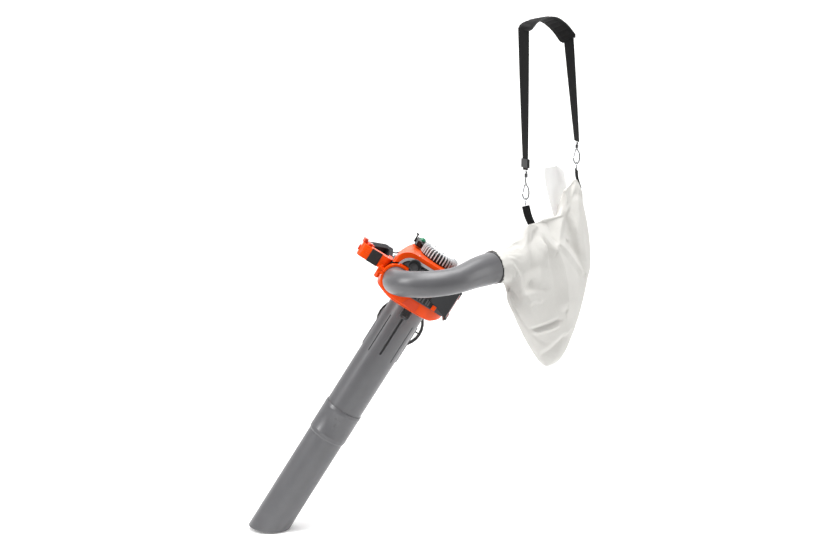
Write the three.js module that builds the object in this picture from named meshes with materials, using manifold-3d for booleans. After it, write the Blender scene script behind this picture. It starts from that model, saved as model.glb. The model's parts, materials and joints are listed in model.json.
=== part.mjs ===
// A handheld petrol leaf blower in its vacuum set-up: two suction tubes under the fan,
// a bent elbow tube from the fan's outlet to a cloth collection bag, and a shoulder strap.
//
// Units are millimetres. Two frames are used:
//   the machine frame - Z runs up the fan shaft and suction tube, X towards the base feet,
//                       Y to the back, origin on the fan axis at the housing's lower face;
//   the part's frame  - Z is up, with the machine leaning over, origin in the hand grip.
import * as THREE from "three";
import { mergeVertices } from "three/addons/utils/BufferGeometryUtils.js";
import Module from "manifold-3d";

const wasm = await Module();
wasm.setup();

// ---------------------------------------------------------------- driving dimensions
const LEAN_DEG = 31.84; // the suction tube's lean from the vertical, in use
const MOUTH_TILT_DEG = 6; // the cut mouth's tilt from level when the machine leans so
const GAP = 0.3; // clearance between pieces that touch
const RUN = 0.4; // radial clearance of what turns or slides
const WALL = 3; // moulded wall
const ROUND = 32; // facets of a large round piece
const SMALL_ROUND = 16; // facets of a small one

const TUBE_R = 58.5; // suction tube, outside radius
const TUBE_WALL = 2.5;
const SUCTION_LENGTH = 839; // mouth centre to the housing's lower face
const SOCKET_TOP = 384; // the lower tube's socket ends this far under the housing
const SOCKET_LENGTH = 103;
const SOCKET_WALL = 2.2;
const TUBE_DEPTH = 19; // how far the upper tube goes up into the housing
const RIB_TOP = 51; // stiffening ribs and grooves of the upper tube, below the housing
const RIB_BOTTOM = 179;
const RIB_HEIGHT = 3;
const GROOVE_DEPTH = 1.2;

const FAN_R = 71; // impeller radius
const BLADES = 9;
const VOLUTE_START_R = 76; // spiral radius at the tongue
const VOLUTE_END_R = 119; // and where it runs out into the outlet
const TONGUE_DEG = 238;
const COVER_H = 38; // height of the orange inlet housing
const HOUSING_H = 101; // top of the fan housing
const PLATE = 4; // floor and top plate of the fan chamber
const FOOTPRINT = { x0: -124, x1: 98, y0: -116, y1: 116, r: 84 }; // of the inlet housing
const INLET_R = 55; // the fan's eye
// The inlet housing's underside rises towards both ends: from x, to x, by a height.
const UNDERSIDE = [
  { from: TUBE_R + 4, to: FOOTPRINT.x1, rise: 22 },
  { from: -TUBE_R - 4, to: FOOTPRINT.x0, rise: 14 },
];

const OUTLET = { x: -86, z: 63, r: 33, wall: 2.5, y0: -124 }; // spigot, pointing to -Y
const ELBOW_WALL = 2.5;
const ELBOW_SIDES = 20;
// The bore's flats, not its corners, clear the spigot.
const ELBOW_R = (OUTLET.r + OUTLET.wall + RUN) / Math.cos(Math.PI / ELBOW_SIDES) + ELBOW_WALL;
const ELBOW_END_R = 48; // the elbow flares towards the bag
const CLAMP = { y0: -126, y1: -99, wall: 6.5 };

const CRANK_Z = 127; // plane of the cylinder and crank throw
const SHAFT_R = 5;
const CASE_R = 34;
const CASE_Z = [HOUSING_H + GAP, 153];
const BORE_R = 17.5;
const STROKE = 28;
const ROD_LENGTH = 62;
const SHROUD = { x0: -121, x1: 94, y0: -112, y1: 128, z1: 157, r: 12, crest: 48 };
const STARTER = { r: 56, z0: SHROUD.z1 + GAP, z1: 188, fins: 20, finDepth: 4 };
const PULLEY_R = 24;
const ROPE_R = 1.75;
const ROPE_Z = 172.5;
const FOOT = { x: 101, wall: 5, y: 111, z0: 28, z1: 132 };
const FILLER = [68, -82]; // the fuel filler's axis
const PANEL = { y: -117.5, x0: -105, x1: 92, z0: COVER_H + GAP, z1: 145 };

const HANDLE = { z: 82, half: 20, r: 16, hole: 10 };
const HANDLE_OUTLINE = [[-123, -95], [-123, 125], [-150, 125], [-224, -50], [-224, -95]];
const HAND_HOLE = [[-135, -65], [-135, 88], [-199, -65]];
const GRIP_SLOPE_DEG = 22.9; // the grip bar's slant towards the engine
const GRIP = [-178, 30, HANDLE.z]; // the middle of the grip bar, the part's origin

const WEB_WIDTH = 36; // shoulder strap webbing
const WEB_THICK = 2.4;

// ---------------------------------------------------------------- materials
const paint = (color, roughness = 0.5, metalness = 0) =>
  new THREE.MeshStandardMaterial({ color, roughness, metalness });
const orange = paint(0xe2480f, 0.42);
const red = paint(0xb5260c, 0.45);
const grey = paint(0x55565a, 0.5);
const darkGrey = paint(0x2b2c2e, 0.6);
const black = paint(0x141416, 0.65);
const rubber = paint(0x101010, 0.85);
const green = paint(0x1f7a4d, 0.35);
const aluminium = paint(0xb8babd, 0.4, 1);
const steel = paint(0x8d9094, 0.35, 1);
const chrome = paint(0xd7dade, 0.15, 1);
const tankWhite = paint(0xe6e4da, 0.5);
const bagCloth = paint(0xdddcd6, 0.95);
const webbing = paint(0x0d0d0e, 0.9);

// ---------------------------------------------------------------- solids
// A BufferGeometry as a manifold-3d solid, and back.
function solidOf(geometry) {
  const g = geometry.index ? geometry.toNonIndexed() : geometry.clone();
  g.deleteAttribute("normal");
  g.deleteAttribute("uv");
  const merged = mergeVertices(g, 1e-4);
  return new wasm.Manifold(
    new wasm.Mesh({
      numProp: 3,
      vertProperties: new Float32Array(merged.attributes.position.array),
      triVerts: new Uint32Array(merged.index.array),
    }),
  );
}

function geometryOf(solid) {
  const m = solid.getMesh();
  const position = new Float32Array(m.numVert * 3);
  for (let i = 0; i < m.numVert; i++)
    position.set(m.vertProperties.subarray(i * m.numProp, i * m.numProp + 3), i * 3);
  return new THREE.BufferGeometry()
    .setAttribute("position", new THREE.BufferAttribute(position, 3))
    .setIndex(new THREE.BufferAttribute(m.triVerts, 1));
}

const join = (...pieces) => geometryOf(pieces.map(solidOf).reduce((a, b) => a.add(b)));
const cut = (body, ...tools) =>
  geometryOf(tools.map(solidOf).reduce((a, b) => a.subtract(b), solidOf(body)));
const common = (a, b) => geometryOf(solidOf(a).intersect(solidOf(b)));

// A box between two corners.
function box(x0, x1, y0, y1, z0, z1) {
  const solid = new THREE.BoxGeometry(x1 - x0, y1 - y0, z1 - z0);
  return solid.translate((x0 + x1) / 2, (y0 + y1) / 2, (z0 + z1) / 2);
}

// A closed [radius, z] profile turned about Z.
function turned(profile, facets = ROUND) {
  const points = profile.map(([r, z]) => new THREE.Vector2(Math.max(r, 0), z));
  const onAxis = profile[0][0] === 0 && profile[profile.length - 1][0] === 0;
  if (!onAxis) points.push(points[0].clone());
  return new THREE.LatheGeometry(points, facets).rotateX(Math.PI / 2);
}

const disc = (r, z0, z1, facets = ROUND) => turned([[0, z0], [r, z0], [r, z1], [0, z1]], facets);
const ring = (r0, r1, z0, z1, facets = ROUND) => turned([[r0, z0], [r1, z0], [r1, z1], [r0, z1]], facets);
const along = {
  x: (g) => g.rotateY(Math.PI / 2), // Z becomes X
  y: (g) => g.rotateX(-Math.PI / 2), // Z becomes Y
};

// A flat shape in XY given a thickness from z0 to z1.
function plate(shape, z0, z1, segments = 8) {
  return new THREE.ExtrudeGeometry(shape, {
    depth: z1 - z0,
    bevelEnabled: false,
    curveSegments: segments,
  }).translate(0, 0, z0);
}

// The same, with its lower edge rounded off.
function plateWithRoundBottom(shape, z0, z1, edge, segments = 8) {
  const full = new THREE.ExtrudeGeometry(shape, {
    depth: z1 - z0,
    bevelEnabled: true,
    bevelThickness: edge,
    bevelSize: edge,
    bevelOffset: -edge,
    bevelSegments: 2,
    curveSegments: segments,
  }).translate(0, 0, z0 + edge);
  const far = 1000;
  return common(full, box(-far, far, -far, far, z0 - edge, z1));
}

// A rounded rectangle, drawn in or out by an inset.
function roundedRect({ x0, x1, y0, y1, r }, inset = 0, path = new THREE.Shape()) {
  const [a, b, c, d] = [x0 + inset, x1 - inset, y0 + inset, y1 - inset];
  const k = Math.max(r - inset, 1);
  path.moveTo(a + k, c);
  path.lineTo(b - k, c);
  path.absarc(b - k, c + k, k, -Math.PI / 2, 0);
  path.lineTo(b, d - k);
  path.absarc(b - k, d - k, k, 0, Math.PI / 2);
  path.lineTo(a + k, d);
  path.absarc(a + k, d - k, k, Math.PI / 2, Math.PI);
  path.lineTo(a, c + k);
  path.absarc(a + k, c + k, k, Math.PI, 1.5 * Math.PI);
  return path;
}

// A convex outline, drawn in by an inset (out when negative), with its corners rounded.
function roundedOutline(points, radius, inset = 0, path = new THREE.Shape()) {
  const p = points.map(([x, y]) => new THREE.Vector2(x, y));
  const turn = Math.sign(THREE.ShapeUtils.area(p));
  const lines = p.map((a, i) => {
    const way = p[(i + 1) % p.length].clone().sub(a).normalize();
    const inward = new THREE.Vector2(-way.y, way.x).multiplyScalar(turn);
    return { at: a.clone().addScaledVector(inward, inset), way };
  });
  const corners = lines.map((line, i) => {
    const before = lines[(i + lines.length - 1) % lines.length];
    const t = line.at.clone().sub(before.at).cross(line.way) / before.way.cross(line.way);
    return before.at.clone().addScaledVector(before.way, t);
  });
  const k = Math.max(radius - inset, 1);
  corners.forEach((corner, i) => {
    const [w0, w1] = [lines[(i + lines.length - 1) % lines.length].way, lines[i].way];
    const back = k * Math.tan(Math.acos(THREE.MathUtils.clamp(w0.dot(w1), -1, 1)) / 2);
    const start = corner.clone().addScaledVector(w0, -back);
    const end = corner.clone().addScaledVector(w1, back);
    if (i) path.lineTo(start.x, start.y);
    else path.moveTo(start.x, start.y);
    path.quadraticCurveTo(corner.x, corner.y, end.x, end.y);
  });
  path.closePath();
  return path;
}

function polygon(points) {
  return new THREE.Shape(points.map(([x, y]) => new THREE.Vector2(x, y)));
}

// Closed rings of points, each with the same count, joined into a skin with flat ends.
function lofted(rings) {
  const n = rings[0].length;
  const position = rings.flat().flatMap((p) => [p.x, p.y, p.z]);
  const index = [];
  for (let i = 0; i + 1 < rings.length; i++)
    for (let j = 0; j < n; j++) {
      const next = (j + 1) % n;
      const [a, b, c, d] = [i * n + j, i * n + next, (i + 1) * n + next, (i + 1) * n + j];
      index.push(a, b, c, a, c, d);
    }
  const last = (rings.length - 1) * n;
  for (let j = 1; j + 1 < n; j++) {
    index.push(0, j + 1, j);
    index.push(last, last + j, last + j + 1);
  }
  const g = new THREE.BufferGeometry();
  g.setAttribute("position", new THREE.Float32BufferAttribute(position, 3));
  g.setIndex(index);
  return g;
}

// A round bar along a curve, whose radius may change along it.
function bar(curve, radiusAt, steps, sides) {
  const frames = curve.computeFrenetFrames(steps, false);
  const rings = [];
  for (let i = 0; i <= steps; i++) {
    const p = curve.getPointAt(i / steps);
    const r = radiusAt(i / steps);
    rings.push(
      Array.from({ length: sides }, (_, j) => {
        const t = (2 * Math.PI * j) / sides;
        return p
          .clone()
          .addScaledVector(frames.normals[i], r * Math.cos(t))
          .addScaledVector(frames.binormals[i], r * Math.sin(t));
      }),
    );
  }
  return lofted(rings);
}

// A flat strip along stations of { at, across }, for webbing and tabs.
function strip(stations, width, thick) {
  const rings = stations.map(({ at, across }, i) => {
    const before = stations[Math.max(i - 1, 0)].at;
    const after = stations[Math.min(i + 1, stations.length - 1)].at;
    const along = after.clone().sub(before).normalize();
    const side = across.clone().addScaledVector(along, -across.dot(along)).normalize();
    const face = along.clone().cross(side);
    const corner = (a, b) =>
      at.clone().addScaledVector(side, (a * width) / 2).addScaledVector(face, (b * thick) / 2);
    return [corner(-1, -1), corner(1, -1), corner(1, 1), corner(-1, 1)];
  });
  return lofted(rings);
}

const vec = (x, y, z) => new THREE.Vector3(x, y, z);

// ---------------------------------------------------------------- the object
const object = new THREE.Group();
const machine = new THREE.Group();
machine.rotation.y = THREE.MathUtils.degToRad(LEAN_DEG);
machine.position.copy(vec(...GRIP).applyEuler(machine.rotation).negate());
object.add(machine);
object.updateMatrixWorld(true);

function add(name, material, geometry, group = machine) {
  const made = new THREE.Mesh(geometry, material);
  made.name = name;
  group.add(made);
}
const toMachine = (p) => machine.worldToLocal(p.clone());

// ---------------------------------------------------------------- suction tubes
function addSuctionTubes() {
  const bore = TUBE_R - TUBE_WALL;
  const far = 200;
  // The mouth is cut so that it lies nearly level when the machine leans.
  const cutter = box(-far, far, -far, far, -far, 0)
    .rotateY(THREE.MathUtils.degToRad(-(LEAN_DEG - MOUTH_TILT_DEG)))
    .translate(0, 0, -SUCTION_LENGTH);
  const socketIn = TUBE_R + RUN;
  const socketOut = socketIn + SOCKET_WALL;
  const [z0, z1] = [-SOCKET_TOP - SOCKET_LENGTH, -SOCKET_TOP];
  const lower = turned(
    [
      [bore, -SUCTION_LENGTH - TUBE_R],
      [TUBE_R, -SUCTION_LENGTH - TUBE_R],
      [TUBE_R, z0 - 3],
      [socketOut, z0],
      [socketOut, z1],
      [socketIn, z1],
      [socketIn, z0 + 6],
      [bore, z0 + 4],
    ],
    36,
  );
  add("lower_suction_tube", grey, cut(lower, cutter));

  const upperEnd = z0 + 8;
  let upper = ring(bore, TUBE_R, upperEnd, TUBE_DEPTH, 36);
  const rib = (deg) =>
    box(bore + 0.5, TUBE_R + RIB_HEIGHT, -1.4, 1.4, -RIB_BOTTOM, -RIB_TOP).rotateZ(
      THREE.MathUtils.degToRad(deg),
    );
  upper = join(upper, rib(0), rib(180), rib(90));
  const groove = (deg, halfWidth, top, bottom) =>
    box(TUBE_R - GROOVE_DEPTH, TUBE_R + 5, -halfWidth, halfWidth, -bottom, -top).rotateZ(
      THREE.MathUtils.degToRad(deg),
    );
  const front = -90;
  upper = cut(
    upper,
    groove(front - 38, 1.3, RIB_TOP, RIB_BOTTOM),
    groove(front + 46, 1.3, RIB_TOP, RIB_BOTTOM),
    groove(front, 4.2, RIB_TOP + 4, RIB_BOTTOM - 12),
  );
  add("upper_suction_tube", grey, upper);

  // A spring catch on the tube's front hooks the tube to the housing.
  const catchShape = polygon([
    [-11, -30], [11, -30], [11, -12], [7, -GAP - 1], [-7, -GAP - 1], [-11, -12],
  ]);
  const block = plate(catchShape, 0, 9).rotateX(Math.PI / 2).translate(0, -TUBE_R - GAP, 0);
  const fingerSlots = [-24, -19, -14].map((z) => box(-8, 8, -TUBE_R - 12, -TUBE_R - 8.3, z - 1, z + 1));
  add("tube_catch", black, cut(block, ...fingerSlots));
}

// ---------------------------------------------------------------- fan housing
// The round grille that closes the inlet when the machine only blows. It hangs open.
const INLET_COVER = { hingeX: 14, hingeY: INLET_R + 24, hingeZ: 4, r: 75, arm: 84, thick: 4 };

// The volute's spiral, grown by an offset, with the straight run into the outlet.
function voluteShape(offset) {
  const points = [];
  const steps = 18;
  for (let i = 0; i <= steps; i++) {
    const t = TONGUE_DEG + ((540 - TONGUE_DEG) * i) / steps;
    const r = VOLUTE_START_R + ((VOLUTE_END_R - VOLUTE_START_R) * i) / steps + offset;
    points.push([r * Math.cos(THREE.MathUtils.degToRad(t)), r * Math.sin(THREE.MathUtils.degToRad(t))]);
  }
  const mouth = -94 - offset;
  points.push([-VOLUTE_END_R - offset, mouth], [OUTLET.x + OUTLET.r + offset, mouth]);
  return polygon(points);
}

// A straight bore or bar along Y through the outlet's centre.
const outletRod = (r, y0, y1, facets = 32) =>
  along.y(disc(r, y0, y1, facets)).translate(OUTLET.x, 0, OUTLET.z);

// What lies under the sloping ends of the underside, moved up by an inset.
const underEnds = (inset) =>
  UNDERSIDE.map(({ from, to, rise }) => {
    const way = new THREE.Vector2(to - from, rise).normalize();
    const up = new THREE.Vector2(-way.y, way.x).multiplyScalar(Math.sign(to - from));
    const at = (along, height) => [
      from + way.x * along + up.x * (height + inset),
      way.y * along + up.y * (height + inset),
    ];
    const face = polygon([at(-10, -60), at(200, -60), at(200, 0), at(-10, 0)]);
    return plate(face, -200, 200).rotateX(Math.PI / 2);
  });

function addFanHousing() {
  // Inlet housing: floor with the tube's collar, outer skirt, and the volute's lower wall.
  const outer = plateWithRoundBottom(roundedRect(FOOTPRINT), 0, COVER_H, 12, 5);
  const room = plate(roundedRect(FOOTPRINT, WALL), PLATE, COVER_H + 1, 5);
  const voluteWall = cut(
    plate(voluteShape(WALL), PLATE, COVER_H + 1),
    plate(voluteShape(0), PLATE - 1, COVER_H + 2),
  );
  const bore = outletRod(OUTLET.r, -140, -80);
  const collarIn = TUBE_R + RUN;
  const collar = turned([
    [collarIn, 0.5],
    [collarIn + 3, 0.5],
    [collarIn + 3, TUBE_DEPTH + 3],
    [INLET_R, TUBE_DEPTH + 3],
    [INLET_R, TUBE_DEPTH + GAP],
    [collarIn, TUBE_DEPTH + GAP],
  ]);
  const shell = cut(outer, cut(room, ...underEnds(WALL)));
  const walled = join(shell, common(voluteWall, plate(roundedRect(FOOTPRINT), PLATE - 1, COVER_H, 5)));
  const clampR = OUTLET.r + OUTLET.wall + RUN + ELBOW_WALL + RUN + CLAMP.wall;
  const outletCut = outletRod(clampR + 1.5, -140, -97);
  const { hingeX, hingeY, hingeZ } = INLET_COVER;
  const hingeNotch = box(hingeX - 16, hingeX + 16, INLET_R + 12, INLET_R + 34, -1, PLATE + 8);
  const floorHole = disc(collarIn, -1, PLATE + 1);
  let housing = cut(walled, floorHole, outletCut, bore, ...underEnds(0));
  housing = join(housing, collar);
  const hingePin = along.x(disc(2, -17, 17, 12)).translate(hingeX, hingeY, hingeZ);
  housing = join(cut(housing, hingeNotch), hingePin);
  add("inlet_housing", orange, housing);

  // Fan housing: the volute with its top plate and the round outlet spigot.
  const z0 = COVER_H + GAP;
  const volute = plate(voluteShape(WALL), z0, HOUSING_H);
  const chamber = plate(voluteShape(0), z0 - 1, HOUSING_H - PLATE);
  const spigotOut = outletRod(OUTLET.r + OUTLET.wall, OUTLET.y0, -92);
  const clearOfCover = join(box(-200, 200, -200, -98, 0, 200), box(-200, 200, -99, 0, z0, 200));
  let fan = join(volute, common(spigotOut, clearOfCover));
  fan = cut(fan, chamber, bore);
  fan = cut(fan, disc(SHAFT_R + RUN + 2, HOUSING_H - PLATE - 5, HOUSING_H + 5, SMALL_ROUND));
  add("fan_housing", darkGrey, fan);
}

function addImpeller() {
  const backPlate = 3;
  const behind = 10; // room between the wheel and the chamber's top plate
  const [z0, z1] = [TUBE_DEPTH + 9, HOUSING_H - PLATE - behind - backPlate];
  const bladeInner = 34;
  let wheel = join(disc(FAN_R, z1, z1 + backPlate), disc(15, z0 + 14, z1 + 1, SMALL_ROUND));
  for (let i = 0; i < BLADES; i++) {
    const blade = box(bladeInner, FAN_R - 1, -1.5, 1.5, z0 + 4, z1 + 1)
      .rotateZ(THREE.MathUtils.degToRad(-28))
      .translate(6, 18, 0)
      .rotateZ((2 * Math.PI * i) / BLADES);
    wheel = join(wheel, common(blade, disc(FAN_R, z0, z1 + backPlate)));
  }
  const shaftHole = disc(SHAFT_R + GAP, 0, 120, SMALL_ROUND);
  add("impeller", black, cut(wheel, shaftHole));
  const bladeZ = z0 + 8;
  const shredder = join(box(-31, 31, -6, 6, bladeZ, bladeZ + 4), box(-6, 6, -31, 31, bladeZ, bladeZ + 4));
  add("shredder_blade", steel, cut(shredder, shaftHole));
  add("fan_nut", steel, cut(disc(9, bladeZ - 7.5, bladeZ - GAP, 6), shaftHole));
}

function addInletCover() {
  const { hingeX, hingeY, hingeZ, r, arm, thick } = INLET_COVER;
  // Made flat in XY around its own centre, then stood up behind the tube.
  let grille = join(
    ring(r - 9, r, 0, 9, 28),
    ring(24, 27, 0, thick, SMALL_ROUND),
    ring(48, 51, 0, thick, SMALL_ROUND),
  );
  for (let i = 0; i < 4; i++)
    grille = join(grille, box(-r + 3, r - 3, -2, 2, 0, thick).rotateZ((Math.PI * i) / 4));
  const lug = box(-12, 12, r - 6, arm, 0, 7);
  const knuckle = along.x(disc(4.2, -12, 12, 16)).translate(0, arm, 3.5);
  grille = cut(join(grille, lug, knuckle), along.x(disc(2 + GAP, -20, 20, 12)).translate(0, arm, 3.5));
  grille.translate(0, -arm, -3.5).rotateX(Math.PI / 2).translate(hingeX, hingeY, hingeZ);
  add("inlet_cover", darkGrey, grille);
}

// ---------------------------------------------------------------- outlet clamp and elbow
function addOutletClamp() {
  const inner = ELBOW_R + 2 * RUN;
  const outer = inner + CLAMP.wall;
  const { y0, y1 } = CLAMP;
  let band = cut(outletRod(outer, y0, y1), outletRod(inner, y0 - 1, y1 + 1));
  const earX = OUTLET.x - outer;
  const ears = box(earX - 17, earX + 2, y0 + 4, y1 - 4, OUTLET.z - 9, OUTLET.z + 9);
  const earSide = OUTLET.x + outer;
  const hingeEar = box(earSide - 2, earSide + 7, y0 + 4, y1 - 4, OUTLET.z - 6, OUTLET.z + 6);
  const padTop = OUTLET.z + outer;
  const pad = box(OUTLET.x - 15, OUTLET.x + 15, y0 + 3, y1 - 3, padTop - 3, padTop + 2.5);
  band = join(band, ears, hingeEar, pad);
  band = cut(band, outletRod(inner, y0 - 1, y1 + 1));
  const boltX = earX - 9;
  const boltY = (y0 + y1) / 2;
  const boltHole = disc(3 + GAP, -200, 200, 16).translate(boltX, boltY, 0);
  band = cut(band, boltHole);
  const far = 300;
  const above = box(-far, far, -far, far, OUTLET.z + 0.6, far);
  const below = box(-far, far, -far, far, -far, OUTLET.z - 0.6);
  add("outlet_clamp_upper", orange, common(band, above));
  add("outlet_clamp_lower", orange, common(band, below));

  // The clamp's hand knob, with its bolt.
  const knobTop = OUTLET.z - 9 - GAP;
  const knob = join(
    disc(9, knobTop - 15, knobTop, 6),
    disc(6, knobTop - 17, knobTop - 14, 6),
    disc(3, knobTop - 1, OUTLET.z + 15, 16),
  ).translate(boltX, boltY, 0);
  add("clamp_knob", orange, knob);
}

// The bag's neck begins here, in the part's frame, and runs along NECK_WAY.
const NECK_MOUTH = vec(357, -141, -30);
const NECK_WAY = vec(0.828, 0.538, 0.157).normalize();
const ELBOW_INSIDE = 42; // how far the elbow goes on inside the neck

function addElbow() {
  const end = NECK_MOUTH.clone().addScaledVector(NECK_WAY, ELBOW_INSIDE);
  const route = [
    vec(OUTLET.x, -98, OUTLET.z),
    vec(OUTLET.x, -124, OUTLET.z),
    vec(OUTLET.x, -156, OUTLET.z + 1),
    vec(-64, -212, 82),
    vec(-8, -238, 121),
    vec(54, -216, 168),
    vec(100, -163, 212),
    toMachine(NECK_MOUTH),
    toMachine(end),
  ];
  const curve = new THREE.CatmullRomCurve3(route, false, "centripetal");
  const flare = (t) => THREE.MathUtils.smoothstep(t, 0.55, 0.88);
  const radius = (t) => ELBOW_R + (ELBOW_END_R - ELBOW_R) * flare(t);
  const steps = 16;
  const outside = bar(curve, radius, steps, ELBOW_SIDES);
  // The bore starts and ends a little outside the skin, so that both ends are open.
  const tangent0 = curve.getTangentAt(0);
  const tangent1 = curve.getTangentAt(1);
  const longer = new THREE.CatmullRomCurve3(
    [
      route[0].clone().addScaledVector(tangent0, -6),
      ...route,
      route[route.length - 1].clone().addScaledVector(tangent1, 6),
    ],
    false,
    "centripetal",
  );
  const inside = bar(longer, (t) => radius(t) - ELBOW_WALL, steps, ELBOW_SIDES);
  const startCap = outletRod(ELBOW_R - ELBOW_WALL, -126, -90, ELBOW_SIDES);
  add("elbow_tube", grey, cut(outside, inside, startCap));
}

// ---------------------------------------------------------------- engine
function addEngine() {
  const [c0, c1] = CASE_Z;
  const bearing = { r: 11, h: 6 };
  // Crankcase: a drum with a bearing seat in each end and a side opening to the cylinder.
  let drum = join(disc(CASE_R, c0, c1), box(-24, 24, 20, CASE_R + 4, CRANK_Z - 24, CRANK_Z + 24));
  drum = cut(
    drum,
    disc(27, c0 + 9, c1 - 9),
    disc(bearing.r + GAP, c0 - 1, c0 + 10, SMALL_ROUND),
    disc(bearing.r + GAP, c1 - 10, c1 + 1, SMALL_ROUND),
    along.y(disc(BORE_R, 10, 60, SMALL_ROUND)).translate(0, 0, CRANK_Z),
  );
  add("crankcase", aluminium, drum);
  const race = (z) => ring(SHAFT_R + GAP, bearing.r, z, z + bearing.h, SMALL_ROUND);
  add("bearing_fan_side", steel, race(c0 + 1));
  add("bearing_starter_side", steel, race(c1 - 1 - bearing.h));

  // The crankshaft's two halves. The crank pin is left out, so the rod's big end is clear.
  const webThick = 8;
  const web = (z) => {
    const top = z + webThick;
    const weight = common(disc(24, z, top), box(-24, 24, -24, -4, z, top));
    return join(disc(13, z, top, SMALL_ROUND), weight, box(-9, 9, -6, 20, z, top));
  };
  const [web0, web1] = [CRANK_Z - 5 - webThick, CRANK_Z + 5];
  add("crank_fan_side", steel, join(web(web0), disc(SHAFT_R, TUBE_DEPTH + 11, web0 + 1, SMALL_ROUND)));
  const starterEnd = disc(SHAFT_R, web1 + webThick - 1, ROPE_Z - 7, SMALL_ROUND);
  add("crank_starter_side", steel, join(web(web1), starterEnd));

  // Piston at top dead centre, its pin, and the connecting rod.
  const crown = 90;
  const pinY = crown - 14;
  const [skirtIn, skirtOut] = [BORE_R - 4, BORE_R - RUN];
  const skirt = turned(
    [
      [0, crown - 5], [skirtIn, crown - 5], [skirtIn, crown - 26],
      [skirtOut, crown - 26], [skirtOut, crown], [0, crown],
    ],
    28,
  );
  const pinHalf = (z0, z1) => disc(3.5, z0, z1, 14).translate(0, pinY, 0);
  const piston = join(along.y(skirt), pinHalf(-BORE_R + 3, -5), pinHalf(5, BORE_R - 3));
  add("piston", aluminium, piston.translate(0, 0, CRANK_Z));
  const bigY = pinY - ROD_LENGTH;
  const rod = join(
    disc(6, -4, 4, 18).translate(0, pinY, 0),
    disc(9.5, -4, 4, 18).translate(0, bigY, 0),
    box(-4, 4, bigY + 2, pinY - 2, -3, 3),
  );
  const rodHoles = [
    disc(3.8, -9, 9, 14).translate(0, pinY, 0),
    disc(5.5, -9, 9, 14).translate(0, bigY, 0),
  ];
  add("connecting_rod", aluminium, cut(rod, ...rodHoles).translate(0, 0, CRANK_Z));

  // Cylinder with square cooling fins.
  const base = CASE_R + 4 + GAP;
  let barrel = along.y(disc(23, base, 101, 28));
  for (let y = base + 8; y < 96; y += 11)
    barrel = join(barrel, box(-29, 29, y, y + 2.2, -25, 25));
  barrel = join(barrel, box(-23, 23, base, base + 4, -23, 23));
  barrel = cut(barrel, along.y(disc(BORE_R, base - 1, 92, 28)), along.y(disc(5 + GAP, 80, 110, 16)));
  add("cylinder", aluminium, barrel.translate(0, 0, CRANK_Z));
  const plug = join(
    along.y(disc(5, 93, 104, 14)),
    along.y(disc(8, 101.3, 107, 6)),
    along.y(disc(4, 106, 122, 14)),
  );
  add("spark_plug", chrome, plug.translate(0, 0, CRANK_Z));
  const bootBody = join(along.y(disc(8, 110, 124.6, 16)), disc(6, -18, 2, 14).translate(0, 118, 0));
  const boot = cut(bootBody, along.y(disc(4 + GAP, 100, 122.3, 14)));
  add("spark_plug_boot", rubber, boot.translate(0, 0, CRANK_Z));

  const muffler = { x0: 34, x1: 72, y0: 50, y1: 104, r: 8 };
  const canTop = SHROUD.z1 - WALL - 3;
  const can = cut(
    plate(roundedRect(muffler), c0 + 3, canTop, 4),
    plate(roundedRect(muffler, 1.5), c0 + 5, canTop - 2, 4),
    box(44, 62, 100, 110, 120, 138),
  );
  add("muffler", steel, can);

  const carb = { x0: -62, x1: -34, y0: 56, y1: 86, r: 4 };
  const carbBody = plate(roundedRect(carb), CRANK_Z - 17, CRANK_Z + 17, 3);
  const throat = along.x(disc(9, -70, -20, SMALL_ROUND)).translate(0, 71, CRANK_Z);
  add("carburettor", aluminium, cut(carbBody, throat));

  // Fuel tank at the feet side, with a filler neck through the shroud.
  const tank = { x0: 38, x1: 88, y0: -104, y1: 42, r: 12 };
  const tankTop = SHROUD.z1 - WALL - 4;
  const filler = (r, z0, z1) => disc(r, z0, z1, 20).translate(...FILLER, 0);
  const tankOut = join(plate(roundedRect(tank), c0 + 3, tankTop, 4), filler(14, tankTop - 5, SHROUD.z1 + 4));
  const tankIn = plate(roundedRect(tank, 2.5), c0 + 5.5, tankTop - 2.5, 4);
  add("fuel_tank", tankWhite, cut(tankOut, tankIn, filler(11, 140, 200)));
  const capFlutes = Array.from({ length: 10 }, (_, i) => {
    const t = (2 * Math.PI * i) / 10;
    return disc(1.6, SHROUD.z1 + 1, 200, 6).translate(18.5 * Math.cos(t), 18.5 * Math.sin(t), 0);
  });
  const capBase = SHROUD.z1 + 4 + GAP;
  const cap = join(disc(18, capBase, capBase + 12, 24), ring(7, 10.4, capBase - 12, capBase + 1, 16));
  add("fuel_cap", black, cut(cap, ...capFlutes).translate(...FILLER, 0));
}

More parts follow.
